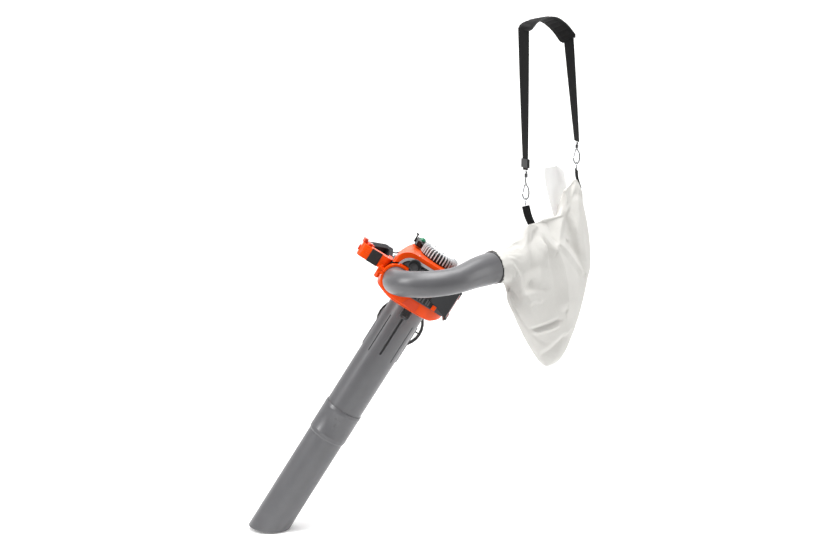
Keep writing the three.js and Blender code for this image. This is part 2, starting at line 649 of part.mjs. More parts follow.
function addStarter() {
  const { r, z0, z1, fins, finDepth } = STARTER;
  // Flywheel with cooling vanes, and the coil beside it.
  const wheelZ = CASE_Z[1] + 2;
  let wheel = disc(43, wheelZ, wheelZ + 5);
  for (let i = 0; i < 12; i++)
    wheel = join(wheel, box(26, 42, -1.2, 1.2, wheelZ + 4, wheelZ + 11).rotateZ((2 * Math.PI * i) / 12));
  add("flywheel", aluminium, cut(wheel, disc(SHAFT_R + GAP, 100, 190, SMALL_ROUND)));
  const coil = join(
    box(-13, 13, -56, -46, wheelZ - 14, wheelZ + 1.5),
    box(-6, 6, -47, -44.5, wheelZ - 10, wheelZ + 1.5),
  );
  add("ignition_coil", black, coil);

  const p0 = ROPE_Z - 4.5;
  const pulley = turned(
    [
      [7, p0], [PULLEY_R + 4, p0], [PULLEY_R + 4, p0 + 2], [PULLEY_R - 1, p0 + 2.5],
      [PULLEY_R - 1, p0 + 6.5], [PULLEY_R + 4, p0 + 7], [PULLEY_R + 4, p0 + 9], [7, p0 + 9],
    ],
    24,
  );
  add("starter_pulley", black, pulley);

  // Housing: a cup with a ring of cooling fins around its wall and a slotted face.
  let cup = cut(disc(r, z0, z1 - 5), disc(r - WALL, z0 - 1, z1 - 8));
  cup = join(cup, turned([[0, z1 - 6], [r - 2, z1 - 6], [r - 6, z1 - 2], [r - 22, z1 + 1], [0, z1 + 2]]));
  cup = cut(cup, turned([[0, z1 - 9], [r - 7, z1 - 9], [r - 9, z1 - 5], [r - 24, z1 - 2], [0, z1 - 1]]));
  for (let i = 0; i < fins; i++) {
    const t = (2 * Math.PI * i) / fins;
    cup = join(cup, box(r - 1, r + finDepth, -1.5, 1.5, z0 + 3, z1 - 5).rotateZ(t));
  }
  const spindle = join(disc(6.4, ROPE_Z - 4, z1), disc(10, z1 - 9, z1));
  const guideY = PULLEY_R + ROPE_R;
  const guide = along.x(disc(6, -r - 9, -r + 6, 16)).translate(0, guideY, ROPE_Z);
  cup = join(cup, spindle, guide);
  const ropeHole = along.x(disc(ROPE_R + RUN, -r - 20, -20, 12)).translate(0, guideY, ROPE_Z);
  const slots = [];
  for (let i = 0; i < 10; i++)
    slots.push(box(18, 38, -2.5, 2.5, z1 - 12, z1 + 8).rotateZ((2 * Math.PI * i) / 10));
  cup = cut(cup, ropeHole, ...slots);
  add("starter_housing", darkGrey, cup);

  const gripX = -r - 11;
  const rope = along.x(disc(ROPE_R, gripX - 6, 40, 10)).translate(0, guideY, ROPE_Z);
  add("starter_rope", webbing, rope);
  let grip = box(gripX - 13, gripX, guideY - 17, guideY + 17, ROPE_Z - 7.5, ROPE_Z + 8);
  grip = join(grip, along.x(disc(6, gripX - 2, gripX + 1.5, 14)).translate(0, guideY, ROPE_Z));
  const ropeSeat = along.x(disc(ROPE_R + GAP, gripX - 7, gripX + 5, 10)).translate(0, guideY, ROPE_Z);
  add("starter_grip", black, cut(grip, ropeSeat));
}

function addIntake() {
  const cover = { x0: -80, x1: -48, y0: 50, y1: 98, r: 6 };
  const z0 = SHROUD.z1 + GAP;
  const z1 = z0 + 21;
  let lid = cut(
    plate(roundedRect(cover), z0, z1, 4),
    plate(roundedRect(cover, WALL), z0 - 1, z1 - WALL, 4),
  );
  const bulbAt = [-64, 67];
  const chokeAt = [88, z0 + 10];
  const well = () => disc(11.5, z1 - 9, z1 + 5, SMALL_ROUND).translate(...bulbAt, 0);
  const cup = cut(disc(14.5, z1 - 11, z1 - 1, SMALL_ROUND).translate(...bulbAt, 0), well());
  lid = join(cut(lid, well()), common(cup, plate(roundedRect(cover), z0, z1, 4)));
  lid = cut(lid, along.x(disc(3 + RUN, cover.x0 - 2, cover.x0 + WALL + 2, 12)).translate(0, ...chokeAt));
  add("air_filter_cover", black, lid);
  const bulb = turned(
    [[0, z1 - 3], [10.5, z1 - 3], [11, z1 + 1], [10, z1 + 5], [6, z1 + 8.5], [0, z1 + 9.5]],
    SMALL_ROUND,
  );
  add("primer_bulb", green, bulb.translate(...bulbAt, 0));
  const [cy, cz] = chokeAt;
  const out = cover.x0 - GAP;
  let lever = join(along.x(disc(7, out - 5, out, 16)), along.x(disc(3, out - 1, out + 6, 12)));
  lever = join(lever, box(out - 5, out - 1, -3.5, 3.5, 2, 20), box(out - 9, out - 1, -4.5, 4.5, 16, 21));
  add("choke_lever", black, lever.translate(0, cy, cz));
  const foam = { x0: -76, x1: -52, y0: 54, y1: 78, r: 3 };
  add("air_filter", black, plate(roundedRect(foam), SHROUD.z1 + 1, z1 - 12, 3));
}

// ---------------------------------------------------------------- shroud, panel and foot
// The shroud's plan, and its front face with the rounded crest over the outlet.
const SHROUD_PLAN = [
  [SHROUD.x1, SHROUD.y1],
  [-66, SHROUD.y1],
  [SHROUD.x0, -76],
  [SHROUD.x0, SHROUD.y0],
  [SHROUD.x1, SHROUD.y0],
];

function shroudSolid(inset, z0) {
  const { x0, x1, y0, y1, z1, r, crest } = SHROUD;
  const plan = plate(roundedOutline(SHROUD_PLAN, r, inset), z0, z1 - inset, 3);
  const face = new THREE.Shape();
  const [a, b, top, k] = [x0 + inset, x1 - inset, z1 - inset, crest - inset];
  face.moveTo(a, z0 - 5);
  face.lineTo(b, z0 - 5);
  face.lineTo(b, top);
  face.lineTo(a + k, top);
  face.absarc(a + k, top - k, k, Math.PI / 2, Math.PI);
  const across = plate(face, -y1 - 5, -y0 + 5, 8).rotateX(Math.PI / 2);
  return common(plan, across);
}

function addShroud() {
  const { z1 } = SHROUD;
  const z0 = HOUSING_H + GAP;
  let shell = cut(shroudSolid(0, z0), shroudSolid(WALL, z0 - 1));
  const top = [z1 - 10, z1 + 10];
  const frontWindow = box(PANEL.x0 + 16, PANEL.x1 - 12, -130, -90, z0 - 1, PANEL.z1 - 9);
  const rearWindow = box(-26, 30, 110, 140, z0 + 8, z1 - 12);
  const filterHole = box(-74, -54, 57, 75, ...top);
  const cableHole = along.x(disc(5.5, -130, -60, 12)).translate(0, 96, z0 + 14);
  shell = cut(
    shell,
    outletRod(ELBOW_R + RUN + CLAMP.wall + 6, -140, -90),
    disc(STARTER.r - 8, ...top),
    box(-15, 15, -58, -40, ...top),
    disc(14.6, ...top, 20).translate(...FILLER, 0),
    frontWindow,
    rearWindow,
    filterHole,
    cableHole,
  );
  add("engine_shroud", orange, shell);
}

function addFrontPanel() {
  const { x0, x1, z0, z1, y } = PANEL;
  // Drawn in XZ and stood up, with its upper left corner well rounded.
  const outline = new THREE.Shape();
  const [r, s] = [42, 8];
  outline.moveTo(x0 + s, z0);
  outline.lineTo(x1 - s, z0);
  outline.absarc(x1 - s, z0 + s, s, -Math.PI / 2, 0);
  outline.lineTo(x1, z1 - s);
  outline.absarc(x1 - s, z1 - s, s, 0, Math.PI / 2);
  outline.lineTo(x0 + r, z1);
  outline.absarc(x0 + r, z1 - r, r, Math.PI / 2, Math.PI);
  outline.lineTo(x0, z0 + s);
  outline.absarc(x0 + s, z0 + s, s, Math.PI, 1.5 * Math.PI);
  const stand = (g) => g.rotateX(Math.PI / 2).translate(0, y + 5, 0);
  let panel = stand(plate(outline, 0, 5));
  const tools = [];
  const pitch = 14;
  for (let row = 0; row < 4; row++)
    for (let i = 0; i < 7; i++) {
      const x = -42 + i * pitch + (row % 2) * 4;
      const z = 128 - row * 14;
      tools.push(box(x, x + 8, y - 3, y + 8, z, z + 9));
    }
  const ringRoom = outletRod(ELBOW_R + RUN + CLAMP.wall + 6, -140, -100);
  const earEnd = OUTLET.x + ELBOW_R + CLAMP.wall + 12;
  const earRoom = box(OUTLET.x - 60, earEnd, -140, -100, OUTLET.z - 24, OUTLET.z + 9);
  panel = cut(panel, ringRoom, earRoom, ...tools);
  const boss = cut(along.y(disc(19, y - 4, y + 1, 28)), along.y(disc(14, y - 6, y - 1.5, 24)));
  add("front_panel", grey, cut(join(panel, boss.translate(-60, 0, 128)), ringRoom));
}

function addFoot() {
  const { x, wall, y, z0, z1 } = FOOT;
  // A channel: the flat base, and a flange down the front and back of the machine.
  const base = box(x - wall + 2 + GAP, x, -y, y, z0, z1);
  const [frontTop, backTop] = [126, HOUSING_H - 3];
  const flange = (top) =>
    plate(polygon([[34, 62], [x, 40], [x, top], [34, top]]), 0, 4).rotateX(Math.PI / 2);
  const front = flange(frontTop).translate(0, -y - 7.2, 0);
  const back = flange(backTop).translate(0, y + 9.5, 0);
  const frontCorner = box(x - 3, x, -y - 11, -y + 1, 42, frontTop);
  const backCorner = box(x - 3, x, y - 1, y + 9.5, 42, backTop);
  const pad = (y0, low) => box(x - 1, x + 5, y0 - 14, y0 + 14, low, low + 22);
  const pads = [-92, 92].flatMap((y0) => [pad(y0, z0 + 4), pad(y0, z1 - 26)]);
  add("base_foot", darkGrey, join(base, front, back, frontCorner, backCorner, ...pads));
}

// ---------------------------------------------------------------- handle
const TRIGGER = { pivot: [-207, -49], pinR: 2.5 };
const CRUISE = { pivot: [-203, -72], stem: 4 };
const BAND = { x0: -190, x1: -156 }; // the black inlay across the front post

function handleShape(inset) {
  const shape = roundedOutline(HANDLE_OUTLINE, HANDLE.r, inset);
  shape.holes.push(roundedOutline(HAND_HOLE, HANDLE.hole, -inset, new THREE.Path()));
  return shape;
}

function addHandle() {
  const { z, half } = HANDLE;
  const [x0, y0] = [HANDLE_OUTLINE[3][0], HANDLE_OUTLINE[4][1]];
  const x1 = HANDLE_OUTLINE[0][0];
  // What belongs to the grip bar is drawn upright about the trigger's pin, then slanted.
  const slant = THREE.MathUtils.degToRad(-GRIP_SLOPE_DEG);
  const onGrip = (g) => g.rotateZ(slant).translate(...TRIGGER.pivot, 0);
  const tray = (z0, z1, floor0, floor1) =>
    cut(plate(handleShape(0), z0, z1, 3), plate(handleShape(WALL), floor0, floor1, 3));
  const triggerSlot = onGrip(box(2, 24, -8, 50, z - 10, z + 10));
  const switchSlot = box(x0 - 2, x0 + 8, -78, -56, z - 8.4, z + 8.4);
  const cableSlot = box(x1 - 6, x1 + 2, 90, 102, z + 6, z + 18);
  const bandRoom = box(BAND.x0 - GAP, BAND.x1 + GAP, y0 - 5, y0 + 1.6, z - 30, z + 30);
  const pinHole = (r, z0, z1) => disc(r, z0, z1, 14).translate(...TRIGGER.pivot, 0);
  const stem = disc(CRUISE.stem + RUN, z, z + half + 10, 16).translate(...CRUISE.pivot, 0);

  let lower = tray(z - half, z - GAP / 2, z - half + WALL, z + 1);
  lower = cut(lower, triggerSlot, switchSlot, bandRoom);
  const pin = [pinHole(TRIGGER.pinR + 3, z - half + 1, z - 11), pinHole(TRIGGER.pinR, z - 12, z + 15)];
  add("handle_lower_shell", orange, join(lower, ...pin));
  let upper = tray(z + GAP / 2, z + half, z - 1, z + half - WALL);
  upper = cut(upper, triggerSlot, switchSlot, cableSlot, bandRoom, stem);
  upper = join(upper, pinHole(TRIGGER.pinR + 3, z + 11, z + half - 1));
  add("handle_upper_shell", orange, cut(upper, pinHole(TRIGGER.pinR + GAP, z, z + 16)));

  add("grip_band", rubber, box(BAND.x0, BAND.x1, y0 - 0.6, y0 + 1.3, z - half - 1, z + half + 1));

  const lever = polygon([
    [-6, -5], [5, -7], [22, 2], [29, 16], [28, 32], [22, 42], [12, 42], [6, 20], [-5, 6],
  ]);
  const trigger = cut(plate(lever, -8.5, 8.5), disc(TRIGGER.pinR + GAP, -20, 20, 14));
  add("throttle_trigger", black, onGrip(trigger.translate(0, 0, z)));

  const [cx, cy] = CRUISE.pivot;
  const top = z + half + GAP;
  const dial = [disc(9, 0, 7, 20), disc(CRUISE.stem, -12, 1, 16), disc(8, 0, 13, 16).translate(-18, 4, 0)];
  const cruise = join(...dial, box(-18, 0, -1, 8, 0, 6));
  add("cruise_lever", red, cruise.translate(cx, cy, top));

  const button = box(x0 - 5, x0 + 6, -77, -57, z - 7.5, z + 7.5);
  const flangeInside = box(x0 + 5, x0 + 9, -79, -56, z - 9, z + 9);
  add("stop_switch", red, join(button, flangeInside));

  const cable = new THREE.CatmullRomCurve3([
    vec(x1 - 6, 96, z + 12), vec(-112, 96, z + 16), vec(-98, 96, 112), vec(-84, 96, 115.3),
    vec(-66, 94, 117), vec(-49, 89, 121),
  ]);
  add("throttle_cable", rubber, bar(cable, () => 2.3, 14, 8));
}

// ---------------------------------------------------------------- bag
// The bag hangs as a flat pouch between its two corner tabs. u runs from the near tab to
// the far one, v across the pouch's thickness, and z up, all in the part's frame.
const BAG_AT = vec(540, -8, 0);
const BAG_U = vec(0.64, 0.77, 0).normalize();
const BAG_V = vec(0.77, -0.64, 0).normalize();
const BAG_HALF = 189;
const BAG_THICK = 88;
const BAG_WALL = 3;
// The top and bottom edges, as points of [u, z].
const BAG_TOP = [
  [-189, -92], [-168, 4], [-130, 90], [-60, 110], [0, 112], [40, 116],
  [80, 166], [112, 208], [136, 210], [166, 58], [189, -40],
];
const BAG_BOTTOM = [
  [-189, -132], [-120, -222], [-60, -304], [-10, -361], [20, -361], [80, -294], [130, -210], [189, -84],
];

function lineAt(points, u) {
  const i = Math.min(Math.max(points.findIndex((p) => p[0] >= u), 1), points.length - 1);
  const [[u0, z0], [u1, z1]] = [points[i - 1], points[i]];
  return z0 + ((z1 - z0) * (u - u0)) / (u1 - u0);
}

// The pouch as one closed skin, drawn in by an inset.
function pouch(inset) {
  const columns = 11;
  const rows = 7;
  const half = BAG_HALF - inset;
  const rings = [];
  for (let i = 0; i <= columns; i++) {
    const u = -half + (2 * half * i) / columns;
    const top = lineAt(BAG_TOP, u) - inset;
    const bottom = lineAt(BAG_BOTTOM, u) + inset;
    const across = Math.sqrt(Math.max(1 - (u / (BAG_HALF + 8)) ** 2, 0.02));
    const side = (sign) =>
      Array.from({ length: rows + 1 }, (_, j) => {
        const t = j / rows;
        const z = bottom + (top - bottom) * t;
        const full = Math.sin(Math.PI * t ** 0.8) ** 0.7;
        const h = Math.max(BAG_THICK * across * full, BAG_WALL + 2) - inset;
        return BAG_AT.clone().addScaledVector(BAG_U, u).addScaledVector(BAG_V, sign * h).setZ(z);
      });
    rings.push([...side(-1), ...side(1).reverse()]);
  }
  return lofted(rings);
}

// The neck, a sleeve that widens from the elbow's end into the pouch.
function neck(inset, from) {
  const end = NECK_MOUTH.clone().addScaledVector(NECK_WAY, 150);
  const start = NECK_MOUTH.clone().addScaledVector(NECK_WAY, from);
  const curve = new THREE.LineCurve3(start, end);
  const mouthR = ELBOW_END_R + RUN + 2 + BAG_WALL;
  const radius = (t) => mouthR - inset + 34 * THREE.MathUtils.smoothstep(t, 0, 0.9);
  return bar(curve, radius, 5, 20);
}

// The back panel's top stands up behind the opening.
function flap() {
  const at = (u, v, z) =>
    BAG_AT.clone().addScaledVector(BAG_U, u).addScaledVector(BAG_V, v).setZ(z);
  const points = [at(86, -12, 96), at(92, -34, 160), at(98, -52, 218), at(102, -60, 247)];
  return strip(points.map((p) => ({ at: p, across: BAG_U })), 122, 2 * BAG_WALL);
}

function addBag() {
  const outside = join(pouch(0), neck(0, 0), flap());
  add("bag", bagCloth, cut(outside, pouch(BAG_WALL), neck(BAG_WALL, -10)), object);
}

// ---------------------------------------------------------------- strap
const NEAR = { hook: vec(452, -111, 200), low: vec(450, -109, 256), top: vec(440, -91, 660) };
const FAR = { hook: vec(623, 88, 286), low: vec(622, 86, 324), top: vec(587, 49, 626) };
const HOOK = { wire: 2, bend: 32, ring: 10, gateWire: 1.6, pivot: [-3.4, 11.5], tip: [-9, -14] };
// The ring hangs in the hook's bend and the tab hangs from the ring.
const RING_DROP = HOOK.bend - 2 * HOOK.wire - 0.5 + HOOK.ring;
const TAB_DROP = RING_DROP + HOOK.ring + HOOK.wire + 2 * GAP;
const PAD_TOP = vec(517, -12, 693);
const ACROSS = vec(0.77, -0.64, 0);
const PAD_END_ACROSS = vec(0.78, -0.45, 0.42); // the pad rolls a little towards its far end

function addStrap() {
  const down = (p, dx, dy, dz) => vec(p.x + dx, p.y + dy, p.z + dz);
  const tabWidth = 24;
  const nearTop = down(NEAR.hook, 0, 0, -TAB_DROP);
  const farTop = down(FAR.hook, 0, 0, -TAB_DROP);
  const nearTab = [down(nearTop, 18, 3, -54), down(nearTop, 7, -2, -28), nearTop];
  const farTab = [down(farTop, 14, 10, -58), down(farTop, 3, 8, -24), farTop];
  const tab = (points, across) =>
    strip(points.map((at) => ({ at, across })), tabWidth, WEB_THICK + 1);
  add("near_tab", webbing, tab(nearTab, vec(0.9, -0.3, 0)), object);
  add("far_tab", webbing, tab(farTab, vec(0.2, -1, 0)), object);

  // Webbing from each hook up to the pad; it turns edge-on towards the hooks.
  const shares = [0, 1 / 6, 2 / 6, 3 / 6, 4 / 6, 5 / 6, 1];
  const hanging = ({ low, top }, degLow, degTop) => {
    const stations = shares.map((t) => {
      const a = THREE.MathUtils.degToRad(degLow + (degTop - degLow) * t);
      return { at: low.clone().lerp(top, t), across: vec(Math.cos(a), -Math.sin(a), 0) };
    });
    return strip(stations, WEB_WIDTH, WEB_THICK);
  };
  add("near_strap", webbing, hanging(NEAR, 73, 30), object);
  add("far_strap", webbing, hanging(FAR, 73, 39), object);

  // The pad arches over from one strap's top to the other's.
  const padWidth = 54;
  const padThick = 9;
  const arch = new THREE.CatmullRomCurve3([
    down(NEAR.top, 0, 0, 6),
    down(NEAR.top, 24, 16, 25),
    PAD_TOP.clone(),
    down(FAR.top, -32, -24, 44),
    down(FAR.top, 2, 2, 13),
  ]);
  const steps = 14;
  const stations = Array.from({ length: steps + 1 }, (_, i) => ({
    at: arch.getPointAt(i / steps),
    across: ACROSS.clone().lerp(PAD_END_ACROSS, i / steps),
  }));
  add("shoulder_pad", webbing, strip(stations, padWidth, padThick), object);

  // Slide adjuster on the near strap: a frame around the webbing.
  const slot = WEB_WIDTH / 2 + 1;
  const slide = cut(box(-22.5, 22.5, -4, 4, -13, 13), box(-slot, slot, -2.5, 2.5, -20, 20));
  slide.rotateZ(THREE.MathUtils.degToRad(-71)).translate(NEAR.low.x - 0.4, NEAR.low.y + 0.6, NEAR.low.z + 20);
  add("strap_adjuster", black, slide, object);

  addHook("near", NEAR);
  addHook("far", FAR);
}

// A ring on the bag's tab, and the snap hook that holds it, with its spring gate.
function addHook(side, { hook, low }) {
  const { wire, bend, ring: ringR, gateWire, pivot, tip } = HOOK;
  const place = (g) => g.translate(hook.x, hook.y, hook.z);
  const round = new THREE.TorusGeometry(ringR, wire, 6, 16).rotateY(Math.PI / 2);
  add(side + "_ring", chrome, place(round.translate(0, 0, -RING_DROP)), object);

  const eye = low.z - hook.z - 5;
  const shape = new THREE.CatmullRomCurve3([
    vec(0, 0, eye), vec(0, 0, 15), vec(7, 0, 2), vec(9, 0, -14), vec(6, 0, -27),
    vec(0, 0, -bend), vec(-6, 0, -28), vec(-9, 0, -20), vec(tip[0], 0, tip[1]),
  ]);
  const swivel = disc(5, eye - 16, eye - 5, 12);
  const crossBar = along.y(disc(3, -14, 14, 10)).translate(0, 0, eye);
  add(side + "_hook", chrome, place(join(bar(shape, () => wire, 20, 8), swivel, crossBar)), object);

  const [px, pz] = pivot;
  const gateEnd = vec(tip[0], 0, tip[1] + wire + gateWire - 1);
  const arm = bar(new THREE.LineCurve3(vec(px, 0, pz), gateEnd), () => gateWire, 1, 8);
  const knuckle = along.y(disc(2.3, -2.5, 2.5, 12)).translate(px, 0, pz);
  add(side + "_gate", steel, place(join(arm, knuckle)), object);
}

addSuctionTubes();
addFanHousing();
addImpeller();
addInletCover();
addOutletClamp();
addElbow();
addEngine();
addStarter();
addIntake();
addShroud();
addFrontPanel();
addFoot();
addHandle();
addBag();
addStrap();

export default object;
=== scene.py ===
"""Leaf blower set up as a vacuum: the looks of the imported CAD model."""

import json
import math

import bmesh
import bpy
import numpy as np
from mathutils import Matrix, Vector


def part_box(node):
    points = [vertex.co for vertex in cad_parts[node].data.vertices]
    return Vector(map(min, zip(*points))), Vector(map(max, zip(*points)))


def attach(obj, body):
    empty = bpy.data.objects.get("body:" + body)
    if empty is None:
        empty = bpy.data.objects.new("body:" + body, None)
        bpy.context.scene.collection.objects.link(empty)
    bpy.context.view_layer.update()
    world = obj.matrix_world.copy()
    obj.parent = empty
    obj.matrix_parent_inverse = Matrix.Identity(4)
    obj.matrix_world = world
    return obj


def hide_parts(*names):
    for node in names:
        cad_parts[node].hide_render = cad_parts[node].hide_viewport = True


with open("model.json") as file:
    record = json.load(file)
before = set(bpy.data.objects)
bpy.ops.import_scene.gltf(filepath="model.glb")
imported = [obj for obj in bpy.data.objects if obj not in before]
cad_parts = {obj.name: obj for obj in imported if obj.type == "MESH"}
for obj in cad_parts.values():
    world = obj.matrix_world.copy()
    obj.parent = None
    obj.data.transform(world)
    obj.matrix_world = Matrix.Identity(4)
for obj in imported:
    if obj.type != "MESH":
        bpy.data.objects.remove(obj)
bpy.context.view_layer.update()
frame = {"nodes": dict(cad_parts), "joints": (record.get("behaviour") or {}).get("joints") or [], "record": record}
NODES = frame["nodes"]
JOINTS = {j["name"]: j for j in frame["joints"]}
MOUNTS = {m["name"]: m for m in frame["record"]["mounts"]}

# The machine's own frame: z up the fan's shaft, x towards the foot, y to the back.
UP = Vector(JOINTS["rotor_spin"]["axis"]).normalized()
FOOTWARD = Vector(MOUNTS["base_foot"]["axis"]).normalized()
BACKWARD = UP.cross(FOOTWARD)
SPIN_HEIGHT = 0.1  # metres from the machine's origin up to the point its spin joint is given at
ORIGIN = Vector(JOINTS["rotor_spin"]["pos_m"]) - SPIN_HEIGHT * UP
MACHINE = Matrix.Translation(ORIGIN) @ Matrix((FOOTWARD, BACKWARD, UP)).transposed().to_4x4()


def on_machine(x, y, z):
    """A point given in millimetres in the machine's frame."""
    return MACHINE @ (Vector((x, y, z)) / 1000)


def mm(x, y, z):
    """A point given in millimetres in the part's frame."""
    return Vector((x, y, z)) / 1000


def smoothstep(x, a, b):
    t = min(max((x - a) / (b - a), 0.0), 1.0)
    return t * t * (3 - 2 * t)


# ------------------------------------------------------------------ materials
def new_material(name):
    m = bpy.data.materials.new(name)
    m.use_nodes = True
    return m, m.node_tree.nodes, m.node_tree.links, m.node_tree.nodes["Principled BSDF"]


def noise_node(m, scale, detail=4.0, rough=0.55, stretch=(1, 1, 1)):
    nodes, links = m.node_tree.nodes, m.node_tree.links
    coords = nodes.new("ShaderNodeTexCoord")
    mapping = nodes.new("ShaderNodeMapping")
    mapping.inputs["Scale"].default_value = stretch
    tex = nodes.new("ShaderNodeTexNoise")
    tex.inputs["Scale"].default_value = scale
    tex.inputs["Detail"].default_value = detail
    tex.inputs["Roughness"].default_value = rough
    links.new(coords.outputs["Object"], mapping.inputs["Vector"])
    links.new(mapping.outputs["Vector"], tex.inputs["Vector"])
    return tex


def ramp_node(m, factor, stops):
    ramp = m.node_tree.nodes.new("ShaderNodeValToRGB")
    m.node_tree.links.new(factor, ramp.inputs["Fac"])
    elements = ramp.color_ramp.elements
    while len(elements) < len(stops):
        elements.new(0.5)
    for e, (at, colour) in zip(elements, stops):
        e.position = at
        e.color = (*colour, 1)
    return ramp


def bump_node(m, height, strength, distance, under=None):
    bump = m.node_tree.nodes.new("ShaderNodeBump")
    bump.inputs["Strength"].default_value = strength
    bump.inputs["Distance"].default_value = distance
    m.node_tree.links.new(height, bump.inputs["Height"])
    if under:
        m.node_tree.links.new(under.outputs["Normal"], bump.inputs["Normal"])
    return bump


def range_node(m, value, low, high):
    r = m.node_tree.nodes.new("ShaderNodeMapRange")
    r.inputs["To Min"].default_value = low
    r.inputs["To Max"].default_value = high
    m.node_tree.links.new(value, r.inputs["Value"])
    return r


def scaled(colour, k):
    return tuple(min(c * k, 1.0) for c in colour)


def moulded(name, colour, rough, grain=0.10, grain_scale=1500, spread=0.08, coat=0.0, gloss=0.5):
    """Moulded plastic or rubber: a slight mottle, a fine grain and uneven sheen."""
    m, _, links, bsdf = new_material(name)
    mottle = noise_node(m, 22, 5, 0.6)
    shades = [(0.3, scaled(colour, 1 - spread)), (0.7, scaled(colour, 1 + spread))]
    tint = ramp_node(m, mottle.outputs["Fac"], shades)
    links.new(tint.outputs["Color"], bsdf.inputs["Base Color"])
    sheen = range_node(m, noise_node(m, 60, 6, 0.65).outputs["Fac"], rough - 0.07, rough + 0.07)
    links.new(sheen.outputs["Result"], bsdf.inputs["Roughness"])
    fine = noise_node(m, grain_scale, 2, 0.5)
    bump = bump_node(m, fine.outputs["Fac"], grain, 0.0002)
    links.new(bump.outputs["Normal"], bsdf.inputs["Normal"])
    bsdf.inputs["Coat Weight"].default_value = coat
    bsdf.inputs["Coat Roughness"].default_value = 0.25
    bsdf.inputs["Specular IOR Level"].default_value = gloss
    return m


def metal(name, colour, rough, brushed=(1, 1, 1), bump_by=0.08):
    m, _, links, bsdf = new_material(name)
    bsdf.inputs["Metallic"].default_value = 1.0
    tone = noise_node(m, 40, 6, 0.6)
    tint = ramp_node(m, tone.outputs["Fac"], [(0.3, scaled(colour, 0.86)), (0.7, scaled(colour, 1.06))])
    links.new(tint.outputs["Color"], bsdf.inputs["Base Color"])
    streak = noise_node(m, 300, 4, 0.6, stretch=brushed)
    sheen = range_node(m, streak.outputs["Fac"], max(rough - 0.1, 0.04), rough + 0.12)
    links.new(sheen.outputs["Result"], bsdf.inputs["Roughness"])
    bump = bump_node(m, streak.outputs["Fac"], bump_by, 0.0001)
    links.new(bump.outputs["Normal"], bsdf.inputs["Normal"])
    return m


def woven(name, colour, ribs_per_metre=420):
    """Webbing: crosswise picks and lengthwise cords, drawn along the strip's own UV in metres."""
    m, nodes, links, bsdf = new_material(name)
    coords = nodes.new("ShaderNodeTexCoord")
    picks = nodes.new("ShaderNodeTexWave")
    picks.wave_type = "BANDS"
    picks.bands_direction = "Y"
    picks.inputs["Scale"].default_value = ribs_per_metre / 6.2832 * 2
    picks.inputs["Distortion"].default_value = 0.3
    cords = nodes.new("ShaderNodeTexWave")
    cords.wave_type = "BANDS"
    cords.bands_direction = "X"
    cords.inputs["Scale"].default_value = ribs_per_metre / 6.2832
    cords.inputs["Distortion"].default_value = 0.2
    for w in (picks, cords):
        links.new(coords.outputs["UV"], w.inputs["Vector"])
    both = nodes.new("ShaderNodeMath")
    both.operation = "MULTIPLY"
    links.new(picks.outputs["Fac"], both.inputs[0])
    links.new(cords.outputs["Fac"], both.inputs[1])
    tint = ramp_node(m, both.outputs["Value"], [(0.0, scaled(colour, 0.5)), (0.8, scaled(colour, 1.7))])
    links.new(tint.outputs["Color"], bsdf.inputs["Base Color"])
    fluff = range_node(m, noise_node(m, 500, 3).outputs["Fac"], 0.72, 0.95)
    links.new(fluff.outputs["Result"], bsdf.inputs["Roughness"])
    bump = bump_node(m, both.outputs["Value"], 0.5, 0.0004)
    links.new(bump.outputs["Normal"], bsdf.inputs["Normal"])
    bsdf.inputs["Specular IOR Level"].default_value = 0.25
    return m


def nonwoven(name, colour, through):
    """Thin felted cloth: matted fibres, soft crumples, and some light through it."""
    m, nodes, links, bsdf = new_material(name)
    fibres = noise_node(m, 420, 8, 0.7, stretch=(1, 1, 0.35))
    patches = noise_node(m, 9, 4, 0.55)
    tint = ramp_node(m, patches.outputs["Fac"], [(0.3, scaled(colour, 0.95)), (0.7, scaled(colour, 1.03))])
    mixed = nodes.new("ShaderNodeMix")
    mixed.data_type = "RGBA"
    mixed.blend_type = "MULTIPLY"
    mixed.inputs[0].default_value = 0.25
    specks = ramp_node(m, fibres.outputs["Fac"], [(0.35, (0.80, 0.79, 0.77)), (0.65, (1, 1, 1))])
    links.new(tint.outputs["Color"], mixed.inputs[6])
    links.new(specks.outputs["Color"], mixed.inputs[7])
    links.new(mixed.outputs[2], bsdf.inputs["Base Color"])
    rough = range_node(m, fibres.outputs["Fac"], 0.85, 0.98)
    links.new(rough.outputs["Result"], bsdf.inputs["Roughness"])
    crumple = noise_node(m, 26, 6, 0.6)
    first = bump_node(m, crumple.outputs["Fac"], 0.35, 0.004)
    second = bump_node(m, fibres.outputs["Fac"], 0.25, 0.0004, first)
    links.new(second.outputs["Normal"], bsdf.inputs["Normal"])
    bsdf.inputs["Sheen Weight"].default_value = 0.15
    bsdf.inputs["Specular IOR Level"].default_value = 0.2
    lit = nodes.new("ShaderNodeBsdfTranslucent")
    lit.inputs["Color"].default_value = (*colour, 1)
    mix = nodes.new("ShaderNodeMixShader")
    mix.inputs[0].default_value = through
    links.new(bsdf.outputs["BSDF"], mix.inputs[1])
    links.new(lit.outputs["BSDF"], mix.inputs[2])
    links.new(mix.outputs["Shader"], nodes["Material Output"].inputs["Surface"])
    return m


